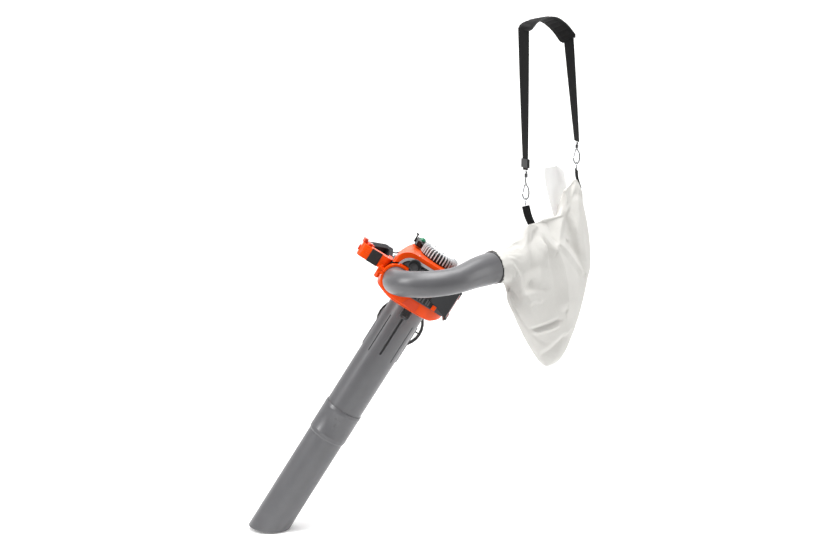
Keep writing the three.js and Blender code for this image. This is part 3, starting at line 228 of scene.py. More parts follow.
ORANGE = moulded("orange_shell", (0.74, 0.062, 0.0010), 0.36, 0.05, gloss=0.22)
# A darker orange used as painted shade in the shallow hollow on the inlet housing's front.
SHADED_ORANGE = moulded("orange_painted_recess_shade", (0.62, 0.045, 0.004), 0.42, 0.08)
GREY = moulded("grey_tube", (0.100, 0.100, 0.105), 0.36, 0.12, 1100, 0.05)
LIGHT_GREY = moulded("light_grey_border", (0.36, 0.36, 0.37), 0.34, 0.08)
PANEL_GREY = moulded("panel_grey", (0.075, 0.075, 0.078), 0.42, 0.12)
FIN_GREY = moulded("fin_grey", (0.50, 0.51, 0.52), 0.40, 0.08)
# The dome's pale grey: partly its own colour, partly a painted highlight on its top.
DOME_GREY_AND_HIGHLIGHT = moulded("dome_grey_and_painted_highlight", (0.62, 0.63, 0.64), 0.30, 0.05)
DARK = moulded("dark_grey", (0.022, 0.023, 0.025), 0.46, 0.15)
BLACK = moulded("black_plastic", (0.006, 0.006, 0.0065), 0.45, 0.12)
RUBBER = moulded("black_rubber", (0.006, 0.006, 0.006), 0.62, 0.35, 700)
FOAM = moulded("filter_foam", (0.015, 0.015, 0.016), 0.95, 0.9, 420, 0.4)
GREEN = moulded("green_bulb", (0.01, 0.16, 0.075), 0.22, 0.03, coat=0.5)
RED = moulded("red_plastic", (0.62, 0.05, 0.012), 0.32, 0.05, coat=0.3)
TANK = moulded("tank_white", (0.74, 0.73, 0.66), 0.5, 0.1)


def overmoulded():
    """The handle's shells: orange towards the front, a soft dark grip on the rest."""
    m = ORANGE.copy()
    m.name = "orange_with_soft_grip"
    nodes, links = m.node_tree.nodes, m.node_tree.links
    bsdf = nodes["Principled BSDF"]
    tint = bsdf.inputs["Base Color"].links[0].from_socket
    coords = nodes.new("ShaderNodeTexCoord")
    dot = nodes.new("ShaderNodeVectorMath")
    dot.operation = "DOT_PRODUCT"
    dot.inputs[1].default_value = BACKWARD
    links.new(coords.outputs["Object"], dot.inputs[0])
    edge = on_machine(0, -34, 0).dot(BACKWARD)
    mask = nodes.new("ShaderNodeMapRange")
    mask.inputs["From Min"].default_value = edge - 0.0003
    mask.inputs["From Max"].default_value = edge + 0.0003
    links.new(dot.outputs["Value"], mask.inputs["Value"])
    mix = nodes.new("ShaderNodeMix")
    mix.data_type = "RGBA"
    links.new(mask.outputs["Result"], mix.inputs[0])
    links.new(tint, mix.inputs[6])
    shades = [(0.3, (0.012, 0.011, 0.014)), (0.7, (0.018, 0.017, 0.021))]
    soft = ramp_node(m, noise_node(m, 30, 5).outputs["Fac"], shades)
    links.new(soft.outputs["Color"], mix.inputs[7])
    links.new(mix.outputs[2], bsdf.inputs["Base Color"])
    matt = nodes.new("ShaderNodeMix")
    links.new(mask.outputs["Result"], matt.inputs[0])
    links.new(bsdf.inputs["Roughness"].links[0].from_socket, matt.inputs[2])
    matt.inputs[3].default_value = 0.78
    links.new(matt.outputs[0], bsdf.inputs["Roughness"])
    return m


GRIPPED = overmoulded()
STEEL = metal("bare_steel", (0.42, 0.43, 0.45), 0.34, (1, 1, 9))
ALUMINIUM = metal("cast_aluminium", (0.56, 0.57, 0.58), 0.45, bump_by=0.35)
CHROME = metal("plated_wire", (0.26, 0.265, 0.275), 0.24)
WEBBING = woven("black_webbing", (0.0042, 0.0042, 0.0045))
CLOTH = nonwoven("bag_cloth", (0.66, 0.65, 0.62), 0.16)
THIN_CLOTH = nonwoven("single_cloth", (0.70, 0.70, 0.69), 0.35)

LOOKS = {
    ORANGE: "inlet_housing outlet_clamp_upper outlet_clamp_lower clamp_knob engine_shroud",
    GRIPPED: "handle_lower_shell handle_upper_shell",
    PANEL_GREY: "front_panel",
    DARK: "fan_housing base_foot starter_pulley inlet_cover",
    FIN_GREY: "starter_housing",
    BLACK: "tube_catch impeller ignition_coil starter_grip air_filter_cover choke_lever fuel_cap "
    "throttle_trigger strap_adjuster",
    RUBBER: "spark_plug_boot grip_band throttle_cable",
    FOAM: "air_filter",
    GREEN: "primer_bulb",
    RED: "cruise_lever stop_switch",
    STEEL: "shredder_blade fan_nut bearing_fan_side bearing_starter_side crank_fan_side "
    "crank_starter_side muffler near_gate far_gate",
    ALUMINIUM: "crankcase piston connecting_rod cylinder carburettor flywheel",
    CHROME: "spark_plug near_ring near_hook far_ring far_hook",
    TANK: "fuel_tank",
    WEBBING: "starter_rope",
}
# Edge rounding in mm, where it is more than the usual.
USUAL_EDGE = 0.4
SOFT_EDGE = {
    "engine_shroud": 1.6,
    "inlet_housing": 1.0,
    "handle_lower_shell": 2.2,
    "handle_upper_shell": 2.2,
    "base_foot": 0.8,
    "clamp_knob": 0.8,
}


def dress(node, material, edge):
    """A CAD node keeps its shape; it gets a finish and slightly rounded edges."""
    o = NODES[node]
    o.data.materials.clear()
    o.data.materials.append(material)
    for a in ("custom_normal", "sharp_edge", "sharp_face"):
        if a in o.data.attributes:
            o.data.attributes.remove(o.data.attributes[a])
    weld = o.modifiers.new("weld", "WELD")
    weld.merge_threshold = 4e-6
    flat = o.modifiers.new("flat", "DECIMATE")
    flat.decimate_type = "DISSOLVE"
    flat.angle_limit = math.radians(0.6)
    bevel = o.modifiers.new("edge", "BEVEL")
    bevel.width = edge / 1000
    bevel.segments = 2
    bevel.limit_method = "ANGLE"
    bevel.angle_limit = math.radians(34)
    bevel.use_clamp_overlap = True
    normal = o.modifiers.new("normal", "WEIGHTED_NORMAL")
    normal.keep_sharp = True
    normal.weight = 60


for look, names in LOOKS.items():
    for n in names.split():
        dress(n, look, SOFT_EDGE.get(n, USUAL_EDGE))


# ------------------------------------------------------------------ mesh helpers
def face_outward(mesh):
    b = bmesh.new()
    b.from_mesh(mesh)
    bmesh.ops.recalc_face_normals(b, faces=b.faces)
    b.to_mesh(mesh)
    b.free()


def piece(name, verts, faces, material, body="machine", stands_for=(), slot=None, uv=None):
    mesh = bpy.data.meshes.new(name)
    mesh.from_pydata([tuple(v) for v in verts], [], faces)
    mesh.validate()
    if uv:
        layer = mesh.uv_layers.new(name="strip")
        for loop in mesh.loops:
            layer.data[loop.index].uv = uv[loop.vertex_index]
    mesh.materials.append(material)
    o = bpy.data.objects.new(name, mesh)
    bpy.context.scene.collection.objects.link(o)
    face_outward(mesh)
    mesh.shade_smooth()
    mesh.set_sharp_from_angle(angle=math.radians(40))
    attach(o, body)
    if stands_for:
        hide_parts(*stands_for)
    return o


def ring_faces(rows, around, closed_ends=(False, False), wrap=False):
    """Faces of a lattice of rows by around points, each row closed on itself."""
    faces = []
    last = rows if wrap else rows - 1
    for i in range(last):
        a, b = i * around, ((i + 1) % rows) * around
        for j in range(around):
            k = (j + 1) % around
            faces.append((a + j, a + k, b + k, b + j))
    if closed_ends[0]:
        faces.append(tuple(range(around))[::-1])
    if closed_ends[1]:
        faces.append(tuple((rows - 1) * around + j for j in range(around)))
    return faces


def revolved(name, rows, material, around=160, **more):
    """Rows of (radius, z), numbers or functions of the angle, turned about z and closed on themselves."""
    verts = []
    for r, z in rows:
        for j in range(around):
            t = 2 * math.pi * j / around
            rr = r(t) if callable(r) else r
            zz = z(t) if callable(z) else z
            verts.append(on_machine(rr * math.cos(t), rr * math.sin(t), zz))
    return piece(name, verts, ring_faces(len(rows), around, wrap=True), material, **more)


def catmull(points, count):
    """A centripetal Catmull-Rom curve through the points, as count points evenly spaced along it."""
    p = [2 * points[0] - points[1], *points, 2 * points[-1] - points[-2]]
    dense = []
    for i in range(1, len(p) - 2):
        a, b, c, d = p[i - 1 : i + 3]
        s0, s1, s2 = ((b - a).length ** 0.5, (c - b).length ** 0.5, (d - c).length ** 0.5)
        m1 = ((b - a) / s0 - (c - a) / (s0 + s1) + (c - b) / s1) * s1
        m2 = ((c - b) / s1 - (d - b) / (s1 + s2) + (d - c) / s2) * s1
        for k in range(40):
            t = k / 40
            h = (2 * t**3 - 3 * t**2 + 1, t**3 - 2 * t**2 + t, -2 * t**3 + 3 * t**2, t**3 - t**2)
            dense.append(b * h[0] + m1 * h[1] + c * h[2] + m2 * h[3])
    dense.append(p[-2].copy())
    along = [0.0]
    for a, b in zip(dense, dense[1:]):
        along.append(along[-1] + (b - a).length)
    out = []
    i = 0
    for k in range(count):
        want = along[-1] * k / (count - 1)
        while i < len(along) - 2 and along[i + 1] < want:
            i += 1
        f = (want - along[i]) / max(along[i + 1] - along[i], 1e-12)
        out.append(dense[i].lerp(dense[i + 1], min(max(f, 0), 1)))
    return out


def tangents(points):
    n = len(points)
    return [(points[min(i + 1, n - 1)] - points[max(i - 1, 0)]).normalized() for i in range(n)]


def swept_rings(points, radius, around, start_normal):
    """Rings of points about a path, carried along without twist; radius takes (share along, angle)."""
    ways = tangents(points)
    normal = (start_normal - start_normal.dot(ways[0]) * ways[0]).normalized()
    rings = []
    for i, (p, way) in enumerate(zip(points, ways)):
        normal = (normal - normal.dot(way) * way).normalized()
        side = way.cross(normal)
        s = i / (len(points) - 1)
        rings.append(
            [
                p + (normal * math.cos(a) + side * math.sin(a)) * radius(s, a)
                for a in (2 * math.pi * j / around for j in range(around))
            ]
        )
    return rings


def rod(name, points, r, material, body="machine", around=12, **more):
    """A solid round wire or cord along a path, r in metres."""
    rings = swept_rings(points, lambda s, a: r, around, Vector((0.3, 0.2, 0.93)))
    verts = [v for ring in rings for v in ring]
    return piece(name, verts, ring_faces(len(rings), around, (True, True)), material, body, **more)


def webbing(name, stations, width, thick, **more):
    """A flat strap with rounded selvedges. Stations are (point, across); sizes in metres."""
    points = [s[0] for s in stations]
    ways = tangents(points)
    verts, uv = [], []
    length = 0.0
    section = [(-0.5, 0), (-0.485, 0.4), (-0.44, 0.5), (-0.2, 0.44), (0, 0.42)]
    section += [(0.2, 0.44), (0.44, 0.5), (0.485, 0.4)]
    section += [(-x, -y) for x, y in section]
    for i, (p, across) in enumerate(stations):
        if i:
            length += (points[i] - points[i - 1]).length
        side = (across - across.dot(ways[i]) * ways[i]).normalized()
        up = side.cross(ways[i])
        for x, y in section:
            verts.append(p + side * x * width + up * y * thick)
            uv.append((x * width, length))
    faces = ring_faces(len(stations), len(section), (True, True))
    return piece(name, verts, faces, WEBBING, uv=uv, **more)


def stations_through(points, acrosses, count):
    path = catmull(points, count)
    out = []
    for i, p in enumerate(path):
        s = i / (count - 1) * (len(acrosses) - 1)
        k = min(int(s), len(acrosses) - 2)
        out.append((p, acrosses[k].lerp(acrosses[k + 1], s - k)))
    return out


def slab(name, outline, centre, right, up_way, depth, material, edge=0.0004, body="machine"):
    """A flat moulding: an outline in millimetres on a plane, given a depth and rounded edges."""
    b = bmesh.new()
    normal = right.cross(up_way).normalized()
    vs = [b.verts.new(centre + (right * x + up_way * y) / 1000) for x, y in outline]
    edges = [b.edges.new((vs[i], vs[(i + 1) % len(vs)])) for i in range(len(vs))]
    bmesh.ops.triangle_fill(b, edges=edges, use_beauty=True, use_dissolve=True)
    made = bmesh.ops.extrude_face_region(b, geom=list(b.faces))
    moved = [g for g in made["geom"] if isinstance(g, bmesh.types.BMVert)]
    bmesh.ops.translate(b, verts=moved, vec=normal * depth / 1000)
    mesh = bpy.data.meshes.new(name)
    bmesh.ops.recalc_face_normals(b, faces=b.faces)
    b.to_mesh(mesh)
    b.free()
    mesh.materials.append(material)
    o = bpy.data.objects.new(name, mesh)
    bpy.context.scene.collection.objects.link(o)
    mesh.shade_smooth()
    bevel = o.modifiers.new("edge", "BEVEL")
    bevel.width = edge
    bevel.segments = 2
    bevel.limit_method = "ANGLE"
    bevel.angle_limit = math.radians(38)
    weighted = o.modifiers.new("normal", "WEIGHTED_NORMAL")
    weighted.weight = 60
    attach(o, body)
    return o


def arc(cx, cy, r, a0, a1, count=16):
    angles = [math.radians(a0 + (a1 - a0) * i / count) for i in range(count + 1)]
    return [(cx + r * math.cos(a), cy + r * math.sin(a)) for a in angles]


def screw(name, centre, way, r):
    """A pan-head screw with a six-lobed drive, its head's underside at centre."""
    way = way.normalized()
    side = way.orthogonal().normalized()
    other = way.cross(side)
    around = 36
    profile = [(1.0, 0.0), (1.0, 0.28), (0.93, 0.42), (0.8, 0.5), (0.62, 0.54)]
    verts = []
    for rr, h in profile:
        for j in range(around):
            t = 2 * math.pi * j / around
            verts.append(centre + (side * math.cos(t) + other * math.sin(t)) * rr * r + way * h * r)
    for rr, h in ((0.5, 0.54), (0.46, 0.2)):
        for j in range(around):
            t = 2 * math.pi * j / around
            k = rr * (1 + 0.16 * math.cos(6 * t))
            verts.append(centre + (side * math.cos(t) + other * math.sin(t)) * k * r + way * h * r)
    rows = len(profile) + 2
    return piece(name, verts, ring_faces(rows, around, (True, True)), STEEL)


# ------------------------------------------------------------------ suction tubes
TUBE_R, BORE = 58.5, 56.0
MOUTH_SLOPE = math.tan(math.radians(25.84))


def facing(t, deg):
    """Signed distance round the tube, in mm, from the direction deg."""
    d = (t - math.radians(deg) + math.pi) % (2 * math.pi) - math.pi
    return d * TUBE_R


def lower_tube():
    def mouth(r, lift=0.0):
        return lambda t: -839 + MOUTH_SLOPE * r * math.cos(t) + lift

    rows = [(BORE + 0.3, mouth(BORE + 0.3)), (TUBE_R - 0.7, mouth(TUBE_R - 0.7))]
    rows += [(TUBE_R, mouth(TUBE_R, 0.8))]
    rows += [(TUBE_R, z) for z in (-760, -700, -640, -580, -530, -494, -490.2)]
    rows += [(TUBE_R + 0.5, -489), (TUBE_R + 1.9, -487.4), (61.0, -486.2), (61.1, -484)]
    rows += [(61.1, -478), (61.5, -477), (61.5, -474), (61.1, -473)]
    rows += [(61.1, -398), (61.5, -397), (61.5, -393), (61.1, -392)]
    rows += [(61.1, -385.2), (60.6, -384.2), (59.4, -384.0), (58.9, -384.6), (58.9, -480.5), (BORE, -483)]
    rows += [(BORE, z) for z in (-530, -600, -700, -760)]
    rows += [(BORE, mouth(BORE, 0.6))]
    revolved("lower_tube_skin", rows, GREY, stands_for=["lower_suction_tube"], slot="grey_plastic")


def upper_tube():
    def skin(z):
        def r(t):
            ends = smoothstep(z, -181, -177) * (1 - smoothstep(z, -53, -49))
            out = TUBE_R
            for deg in (0, 90, 180):
                out += 3 * ends * (1 - smoothstep(abs(facing(t, deg)), 0.9, 2.2))
            cut = 0.0
            for deg in (-128, -44):
                cut = max(cut, ends * (1 - smoothstep(abs(facing(t, deg)), 0.9, 1.7)))
            # The catch's track: a raised rail that closes round its lower end, and a channel in it.
            across, below = facing(t, -90), max(-168 - z, 0.0)
            reach = math.hypot(across, below)
            open_top = 1 - smoothstep(z, -39, -36)
            rail = open_top * smoothstep(reach, 3.6, 4.4) * (1 - smoothstep(reach, 6.2, 7.0))
            cut = max(cut, open_top * (1 - smoothstep(reach, 2.2, 3.2)))
            return out + 1.3 * rail - 1.6 * cut

        return r

    zs = [-478, -470, -384, -300, -240, -186, -182, -181, -180, -179, -178]
    zs += [-177 + 0.5 * k for k in range(20)]
    zs += list(range(-165, -55, 6))
    zs += [-54, -53, -52, -51, -50, -49, -48, -42, -40, -39, -38, -37, -36, -35, -30, 0, 18]
    rows = [(BORE + 0.4, -479)] + [(skin(z), z) for z in zs]
    rows += [(TUBE_R - 1, 19), (BORE + 0.5, 19), (BORE, 18), (BORE, -200), (BORE, -478)]
    stands_for = ["upper_suction_tube"]
    o = revolved("upper_tube_skin", rows, GREY, around=600, stands_for=stands_for, slot="grey_plastic")
    # The faces down in the grooves and in the catch's channel take black plastic as painted shade.
    o.data.materials.append(BLACK)
    inverse = MACHINE.inverted()
    for face in o.data.polygons:
        p = inverse @ face.center * 1000
        if -182 < p.z < -31 and BORE + 0.6 < math.hypot(p.x, p.y) < TUBE_R - 0.5:
            face.material_index = 1


def tube_marks():
    """A raised padlock and arrow that show how the socket turns to lock."""

    def wrapped(name, outline, z0):
        across, upward = Vector((1, 0, 0)), Vector((0, 1, 0))
        centre = Vector((0, 0, 0))
        o = slab(name, outline, centre, across, upward, 1.0, GREY, edge=0.0002)
        for v in o.data.vertices:
            x, y, d = v.co.x * 1000, v.co.y * 1000, v.co.z * 1000
            t = math.radians(-90) + x / 61.1
            r = 60.9 + 0.9 * d
            v.co = on_machine(r * math.cos(t), r * math.sin(t), z0 + y)
        return o

    body = [(-6, -6), (-2, -6), (2, -6), (6, -6), (6, 3), (2, 3), (-2, 3), (-6, 3)]
    wrapped("lock_body_mark", body, -440)
    bow = [(-4.6, 0)] + arc(0, 4, 4.6, 180, 0, 12) + [(4.6, 0), (3, 0)]
    bow += arc(0, 4, 3, 0, 180, 12) + [(-3, 0)]
    wrapped("lock_bow_mark", bow, -436)
    arrow = [(-9, 6), (9, 6), (9, 8), (-9, 8), (-9, 11), (-14, 7), (-9, 3)]
    wrapped("turn_arrow_mark", arrow, -422)


lower_tube()
upper_tube()
tube_marks()


# ------------------------------------------------------------------ elbow
NECK_MOUTH = mm(357, -141, -30)
NECK_WAY = Vector((0.828, 0.538, 0.157)).normalized()
ELBOW_POINTS = [(-86, -98, 63), (-86, -124, 63), (-86, -156, 64), (-64, -212, 82)]
ELBOW_POINTS += [(-8, -238, 121), (54, -216, 168), (100, -163, 212)]
INTO_SLEEVE = 0.042
ELBOW_ROUTE = [on_machine(*p) for p in ELBOW_POINTS]
ELBOW_ROUTE += [NECK_MOUTH, NECK_MOUTH + NECK_WAY * INTO_SLEEVE]
ELBOW_LINE = catmull(ELBOW_ROUTE, 110)


def elbow_radius(s, a=0.0):
    r = 38.35 + (47.6 - 38.35) * smoothstep(s, 0.55, 0.88)
    return r / 1000


def elbow():
    outer = swept_rings(ELBOW_LINE, elbow_radius, 96, UP)
    inner = swept_rings(ELBOW_LINE, lambda s, a: elbow_radius(s) - 0.0023, 96, UP)
    rings = outer + inner[::-1]
    verts = [v for ring in rings for v in ring]
    faces = ring_faces(len(rings), 96, wrap=True)
    piece("elbow_skin", verts, faces, GREY, stands_for=["elbow_tube"], slot="grey_plastic")
    # The moulded bead where the elbow meets the clamp, and a black ring before the bag's sleeve that is a painted
    # shadow of the gap at the sleeve's mouth.
    mouth = min(range(len(ELBOW_LINE)), key=lambda i: (ELBOW_LINE[i] - NECK_MOUTH).length)
    start = round(0.063 * (len(outer) - 1))
    bead_angles = [math.pi * k / 5 for k in range(10)]
    for name, i, r in (("elbow_start_bead", start, 0.0011), ("sleeve_gap_shadow_ring", mouth - 1, 0.0014)):
        centre = ELBOW_LINE[i]
        loop = [centre + (v - centre) * 1.004 for v in outer[i]]
        ways = [(loop[(k + 1) % 96] - loop[k - 1]).normalized() for k in range(96)]
        verts = []
        for p, way in zip(loop, ways):
            out = (p - centre).normalized()
            side = way.cross(out)
            verts += [p + (out * math.cos(a) + side * math.sin(a)) * r for a in bead_angles]
        piece(name, verts, ring_faces(96, 10, wrap=True), BLACK, slot="grey_plastic")


elbow()


# ------------------------------------------------------------------ starter
def starter():
    """The recoil starter's drum: a dark cup, a crown of light fins and a shallow dome."""
    top = 188
    cup = [(20, 158), (54.5, 158), (55.2, 158.8), (55.2, 180), (52, 184), (42, 186.5), (20, 186.5)]
    revolved("starter_cup", cup, BLACK, stands_for=["starter_housing"], slot="dark_plastic")
    verts, faces = [], []
    count = 34
    for i in range(count):
        t = 2 * math.pi * i / count
        out, side = Vector((math.cos(t), math.sin(t), 0)), Vector((-math.sin(t), math.cos(t), 0))
        outline = [(50, 160.5), (59.2, 160.5), (59.8, 161.5), (59.8, 181), (58.0, 185.4), (53.5, 188.6)]
        outline += [(41, 190.4), (41, 186), (50, 184)]
        start = len(verts)
        for half in (-1.5, 1.5):
            verts += [on_machine(*(out * r + side * half + Vector((0, 0, z)))) for r, z in outline]
        n = len(outline)
        faces.append(tuple(start + k for k in range(n))[::-1])
        faces.append(tuple(start + n + k for k in range(n)))
        for k in range(n):
            after = (k + 1) % n
            faces.append((start + k, start + after, start + n + after, start + n + k))
    fins = piece("starter_fins", verts, faces, FIN_GREY, slot="dark_plastic")
    bevel = fins.modifiers.new("edge", "BEVEL")
    bevel.width = 0.0003
    bevel.segments = 2
    # The dome's pale grey is partly a painted highlight.
    face = [(0.01, top + 3.4), (16, top + 3.2), (19, top + 2.6), (20, top + 1.4), (22.5, top + 1.4)]
    face += [(23.5, top + 3.0), (34, top + 2.7), (40.5, top + 1.9), (42.4, top + 1.0)]
    face += [(42.4, top - 1.5), (0.01, top - 1.5)]
    revolved("starter_face", face, DOME_GREY_AND_HIGHLIGHT, around=132, slot="dark_plastic")
    guide = [on_machine(x, 25.75, 172.5) for x in (-66, -64.5, -55)]
    rings = swept_rings(guide, lambda s, a: (0.0062 if s > 0 else 0.0054), 24, UP)
    bore = swept_rings(guide, lambda s, a: 0.0023, 24, UP)
    verts = [v for ring in rings + bore[::-1] for v in ring]
    piece("rope_guide", verts, ring_faces(6, 24, wrap=True), BLACK, slot="dark_plastic")
    for i in range(3):
        t = math.radians(30 + 120 * i)
        at = on_machine(30 * math.cos(t), 30 * math.sin(t), top + 2.7)
        screw(f"starter_screw_{i + 1}", at, UP, 0.0032)


starter()


# ------------------------------------------------------------------ small mouldings on the machine
def front_details():
    y = -117.7
    right, up_way = FOOTWARD, UP

    def front(name, outline, depth, material, at=y, edge=0.0004, slot="grey_plastic"):
        # the slab grows towards the front, because right x up points to the front
        return slab(name, outline, on_machine(0, at, 0), right, up_way, depth, material, edge)

    x0, x1, z1, r, w = -105, 92, 145, 42, 7.5
    outer = [(x0, 96)] + arc(x0 + r, z1 - r, r, 180, 90) + [(x1 - 4, z1), (x1 - 4, z1 - w)]
    inner = arc(x0 + r, z1 - r, r - w, 90, 180) + [(x0 + w, 96)]
    front("panel_border", outer + inner, 2.2, LIGHT_GREY)
    lip = [(x0 + w + 1, 97)] + arc(x0 + r, z1 - r, r - w - 1, 180, 90)
    lip += [(x1 - 5, z1 - w - 1), (x1 - 5, z1 - w - 3)]
    lip += arc(x0 + r, z1 - r, r - w - 3, 90, 180) + [(x0 + w + 3, 97)]
    front("panel_step", lip, 0.9, DARK)
    bars = []
    for row in range(3):
        for i in range(8):
            bars.append((-34 + i * 14 + (row % 2) * 7, 130 - row * 12))
    for n, (x, z) in enumerate(bars):
        chevron = [(x - 6, z - 2), (x, z + 3), (x + 6, z - 2)]
        chevron += [(x + 6, z + 0.4), (x, z + 5.4), (x - 6, z + 0.4)]
        front(f"panel_louvre_{n + 1}", chevron, 1.6, BLACK)
    crescent = arc(-60, 126, 17.5, -30, 210, 24) + arc(-60, 121, 13.2, 200, -20, 20)
    front("panel_crescent", crescent, 1.2, BLACK, at=-121.6)
    front("panel_lower_recess", [(-46, 42), (60, 42), (60, 72), (-46, 72)], 0.7, BLACK)
    for n, x in enumerate((-4, 5, 14, 26, 33)):
        rib = [(x, 44), (x + 4.5, 44), (x + 4.5, 66 - 2 * n), (x, 68 - 2 * n)]
        front(f"panel_lower_rib_{n + 1}", rib, 2.0, PANEL_GREY)
    latch = [(48, 40), (61, 40), (61, 55), (48, 55)]
    front("panel_latch_block", latch, 5.5, ORANGE, edge=0.0009, slot="orange_plastic")
    # Painted shade: a darker orange patch where the inlet housing's front dips into a hollow.
    recess = [(-34, 12), (-8, 7), (14, 7), (14, 35), (-22, 35)]
    front("housing_painted_shade", recess, 0.8, SHADED_ORANGE, at=-116.1, slot="orange_plastic")
    foot_x = 101.2
    for name, low, high, wide, deep, at, material in (
        ("foot_edge_strip", 44, 124, 2.6, 1.2, -122.4, LIGHT_GREY),
        ("foot_edge_line", 46, 122, 0.9, 0.8, -123.5, RED),
    ):
        strip = [(foot_x - wide, low), (foot_x, low), (foot_x, high), (foot_x - wide, high)]
        front(name, strip, deep, material, at=at)


front_details()


def catch_guide():
    """The tube catch's raised guide: a shallow U about the catch."""
    u_shape = [(-15, -3), (-12.6, -3), (-12.6, -33), (-8, -37), (8, -37), (12.6, -33), (12.6, -3)]
    u_shape += [(15, -3), (15, -34), (9.4, -40), (-9.4, -40), (-15, -34)]
    slab("catch_guide_rim", u_shape, on_machine(0, -56.4, 0), FOOTWARD, UP, 5.2, GREY)


catch_guide()

for name, at, way, r in (
    ("shroud_screw_1", (78, 112, 157), UP, 0.0036),
    ("shroud_screw_2", (-44, 116, 157), UP, 0.0036),
    ("shroud_screw_3", (82, -100, 157), UP, 0.0036),
    ("shroud_screw_4", (-60, -100, 157), UP, 0.0036),
    ("handle_screw_1", (-136, 112, 102), UP, 0.0032),
    ("handle_screw_2", (-196, -20, 102), UP, 0.0032),
    ("handle_screw_3", (-136, -82, 102), UP, 0.0032),
    ("foot_screw_1", (101, -60, 60), FOOTWARD, 0.0042),
    ("foot_screw_2", (101, 60, 60), FOOTWARD, 0.0042),
    ("foot_screw_3", (101, -60, 100), FOOTWARD, 0.0042),
    ("foot_screw_4", (101, 60, 100), FOOTWARD, 0.0042),
):
    screw(name, on_machine(*at), way, r)


# ------------------------------------------------------------------ bag
BAG_AT = mm(540, -8, 0)
BAG_U = Vector((0.64, 0.77, 0)).normalized()
BAG_V = Vector((0.77, -0.64, 0)).normalized()
BAG_HALF, BAG_THICK = 187.5, 86.5
# The pouch's upper and lower outlines: distance along BAG_U and height, in mm.
BAG_TOP = [(-189, -92), (-168, 4), (-130, 90), (-60, 110), (0, 112), (52, 114), (58, 152)]
BAG_TOP += [(62, 186), (80, 194), (112, 208), (136, 210), (166, 58), (189, -40)]
BAG_BOTTOM = [(-189, -132), (-120, -222), (-60, -304), (-10, -361), (20, -361)]
BAG_BOTTOM += [(80, -294), (130, -210), (189, -84)]
SLEEVE_INSET, SLEEVE_LENGTH = 0.006, 0.156
VOXEL = 0.0054
CLOTH_FRAMES = 18
CLOTH_CAP = 0.008  # the furthest, in metres, that the simulation may move the cloth
# Folds of the side that faces forward: points (x, z), height, then the half-widths on the
# left and right of the line as it runs, all in mm. A fold rises or sinks to a sharp line.
FOLDS = [
    ([(447, 96), (437, 47), (434, -13), (416, -74)], 15, 60, 22),
    ([(416, -74), (442, -97), (458, -119), (466, -158), (478, -204), (482, -265), (489, -323)], 13, 34, 26),
    ([(485, 92), (521, 43), (552, 12), (571, -33), (580, -87), (585, -141)], 20, 62, 34),
    ([(584, 124), (568, 84), (553, 36)], 16, 22, 46),
    ([(508, 112), (534, 84), (548, 44)], -22, 34, 26),
    ([(462, 90), (474, 20), (470, -70)], -13, 34, 30),
    ([(555, 36), (594, -2), (625, -41), (648, -68)], 13, 36, 16),
    ([(604, 20), (632, -20), (652, -66)], -16, 18, 34),
    ([(439, -92), (480, -90), (515, -95)], -8, 22, 12),
    ([(461, -129), (482, -124), (504, -126)], 7, 16, 10),
    ([(480, -216), (517, -208), (562, -196)], -12, 10, 20),
    ([(484, -230), (522, -226), (560, -214)], 8, 14, 10),
    ([(505, -325), (552, -290), (587, -259)], -15, 18, 40),
    ([(600, 190), (610, 110), (604, 40)], -9, 20, 34),
    ([(628, 150), (640, 60), (652, -20)], 8, 24, 20),
]


def line_at(points, u):
    for (u0, z0), (u1, z1) in zip(points, points[1:]):
        if u <= u1:
            return z0 + (z1 - z0) * (u - u0) / (u1 - u0)
    return points[-1][1]


def fold_height(x, z):
    total = 0.0
    for line, high, left, right in FOLDS:
        best, half = 1e9, left
        for (xa, za), (xb, zb) in zip(line, line[1:]):
            dx, dz = xb - xa, zb - za
            t = min(max(((x - xa) * dx + (z - za) * dz) / (dx * dx + dz * dz), 0), 1)
            ox, oz = x - xa - t * dx, z - za - t * dz
            d = math.hypot(ox, oz)
            if d < best:
                best, half = d, (left if dx * oz - dz * ox > 0 else right)
        total += high * max(0.0, 1 - best / half) ** 1.25
    return total


def pouch_rings(columns, rows):
    rings = []
    for i in range(columns + 1):
        u = -BAG_HALF + 2 * BAG_HALF * i / columns
        top, bottom = line_at(BAG_TOP, u) - 1.5, line_at(BAG_BOTTOM, u) + 1.5
        across = math.sqrt(max(1 - (u / (BAG_HALF + 9)) ** 2, 0.02))

        def side(sign):
            line = []
            for j in range(rows + 1):
                t = j / rows
                z = bottom + (top - bottom) * t
                full = math.sin(math.pi * t**0.8) ** 0.7 if 0 < t < 1 else 0.0
                h = max(BAG_THICK * across * full, 3.5)
                p = BAG_AT + (BAG_U * u + BAG_V * sign * h) / 1000
                line.append(Vector((p.x, p.y, z / 1000)))
            return line

        rings.append(side(-1) + side(1)[::-1])
    return rings


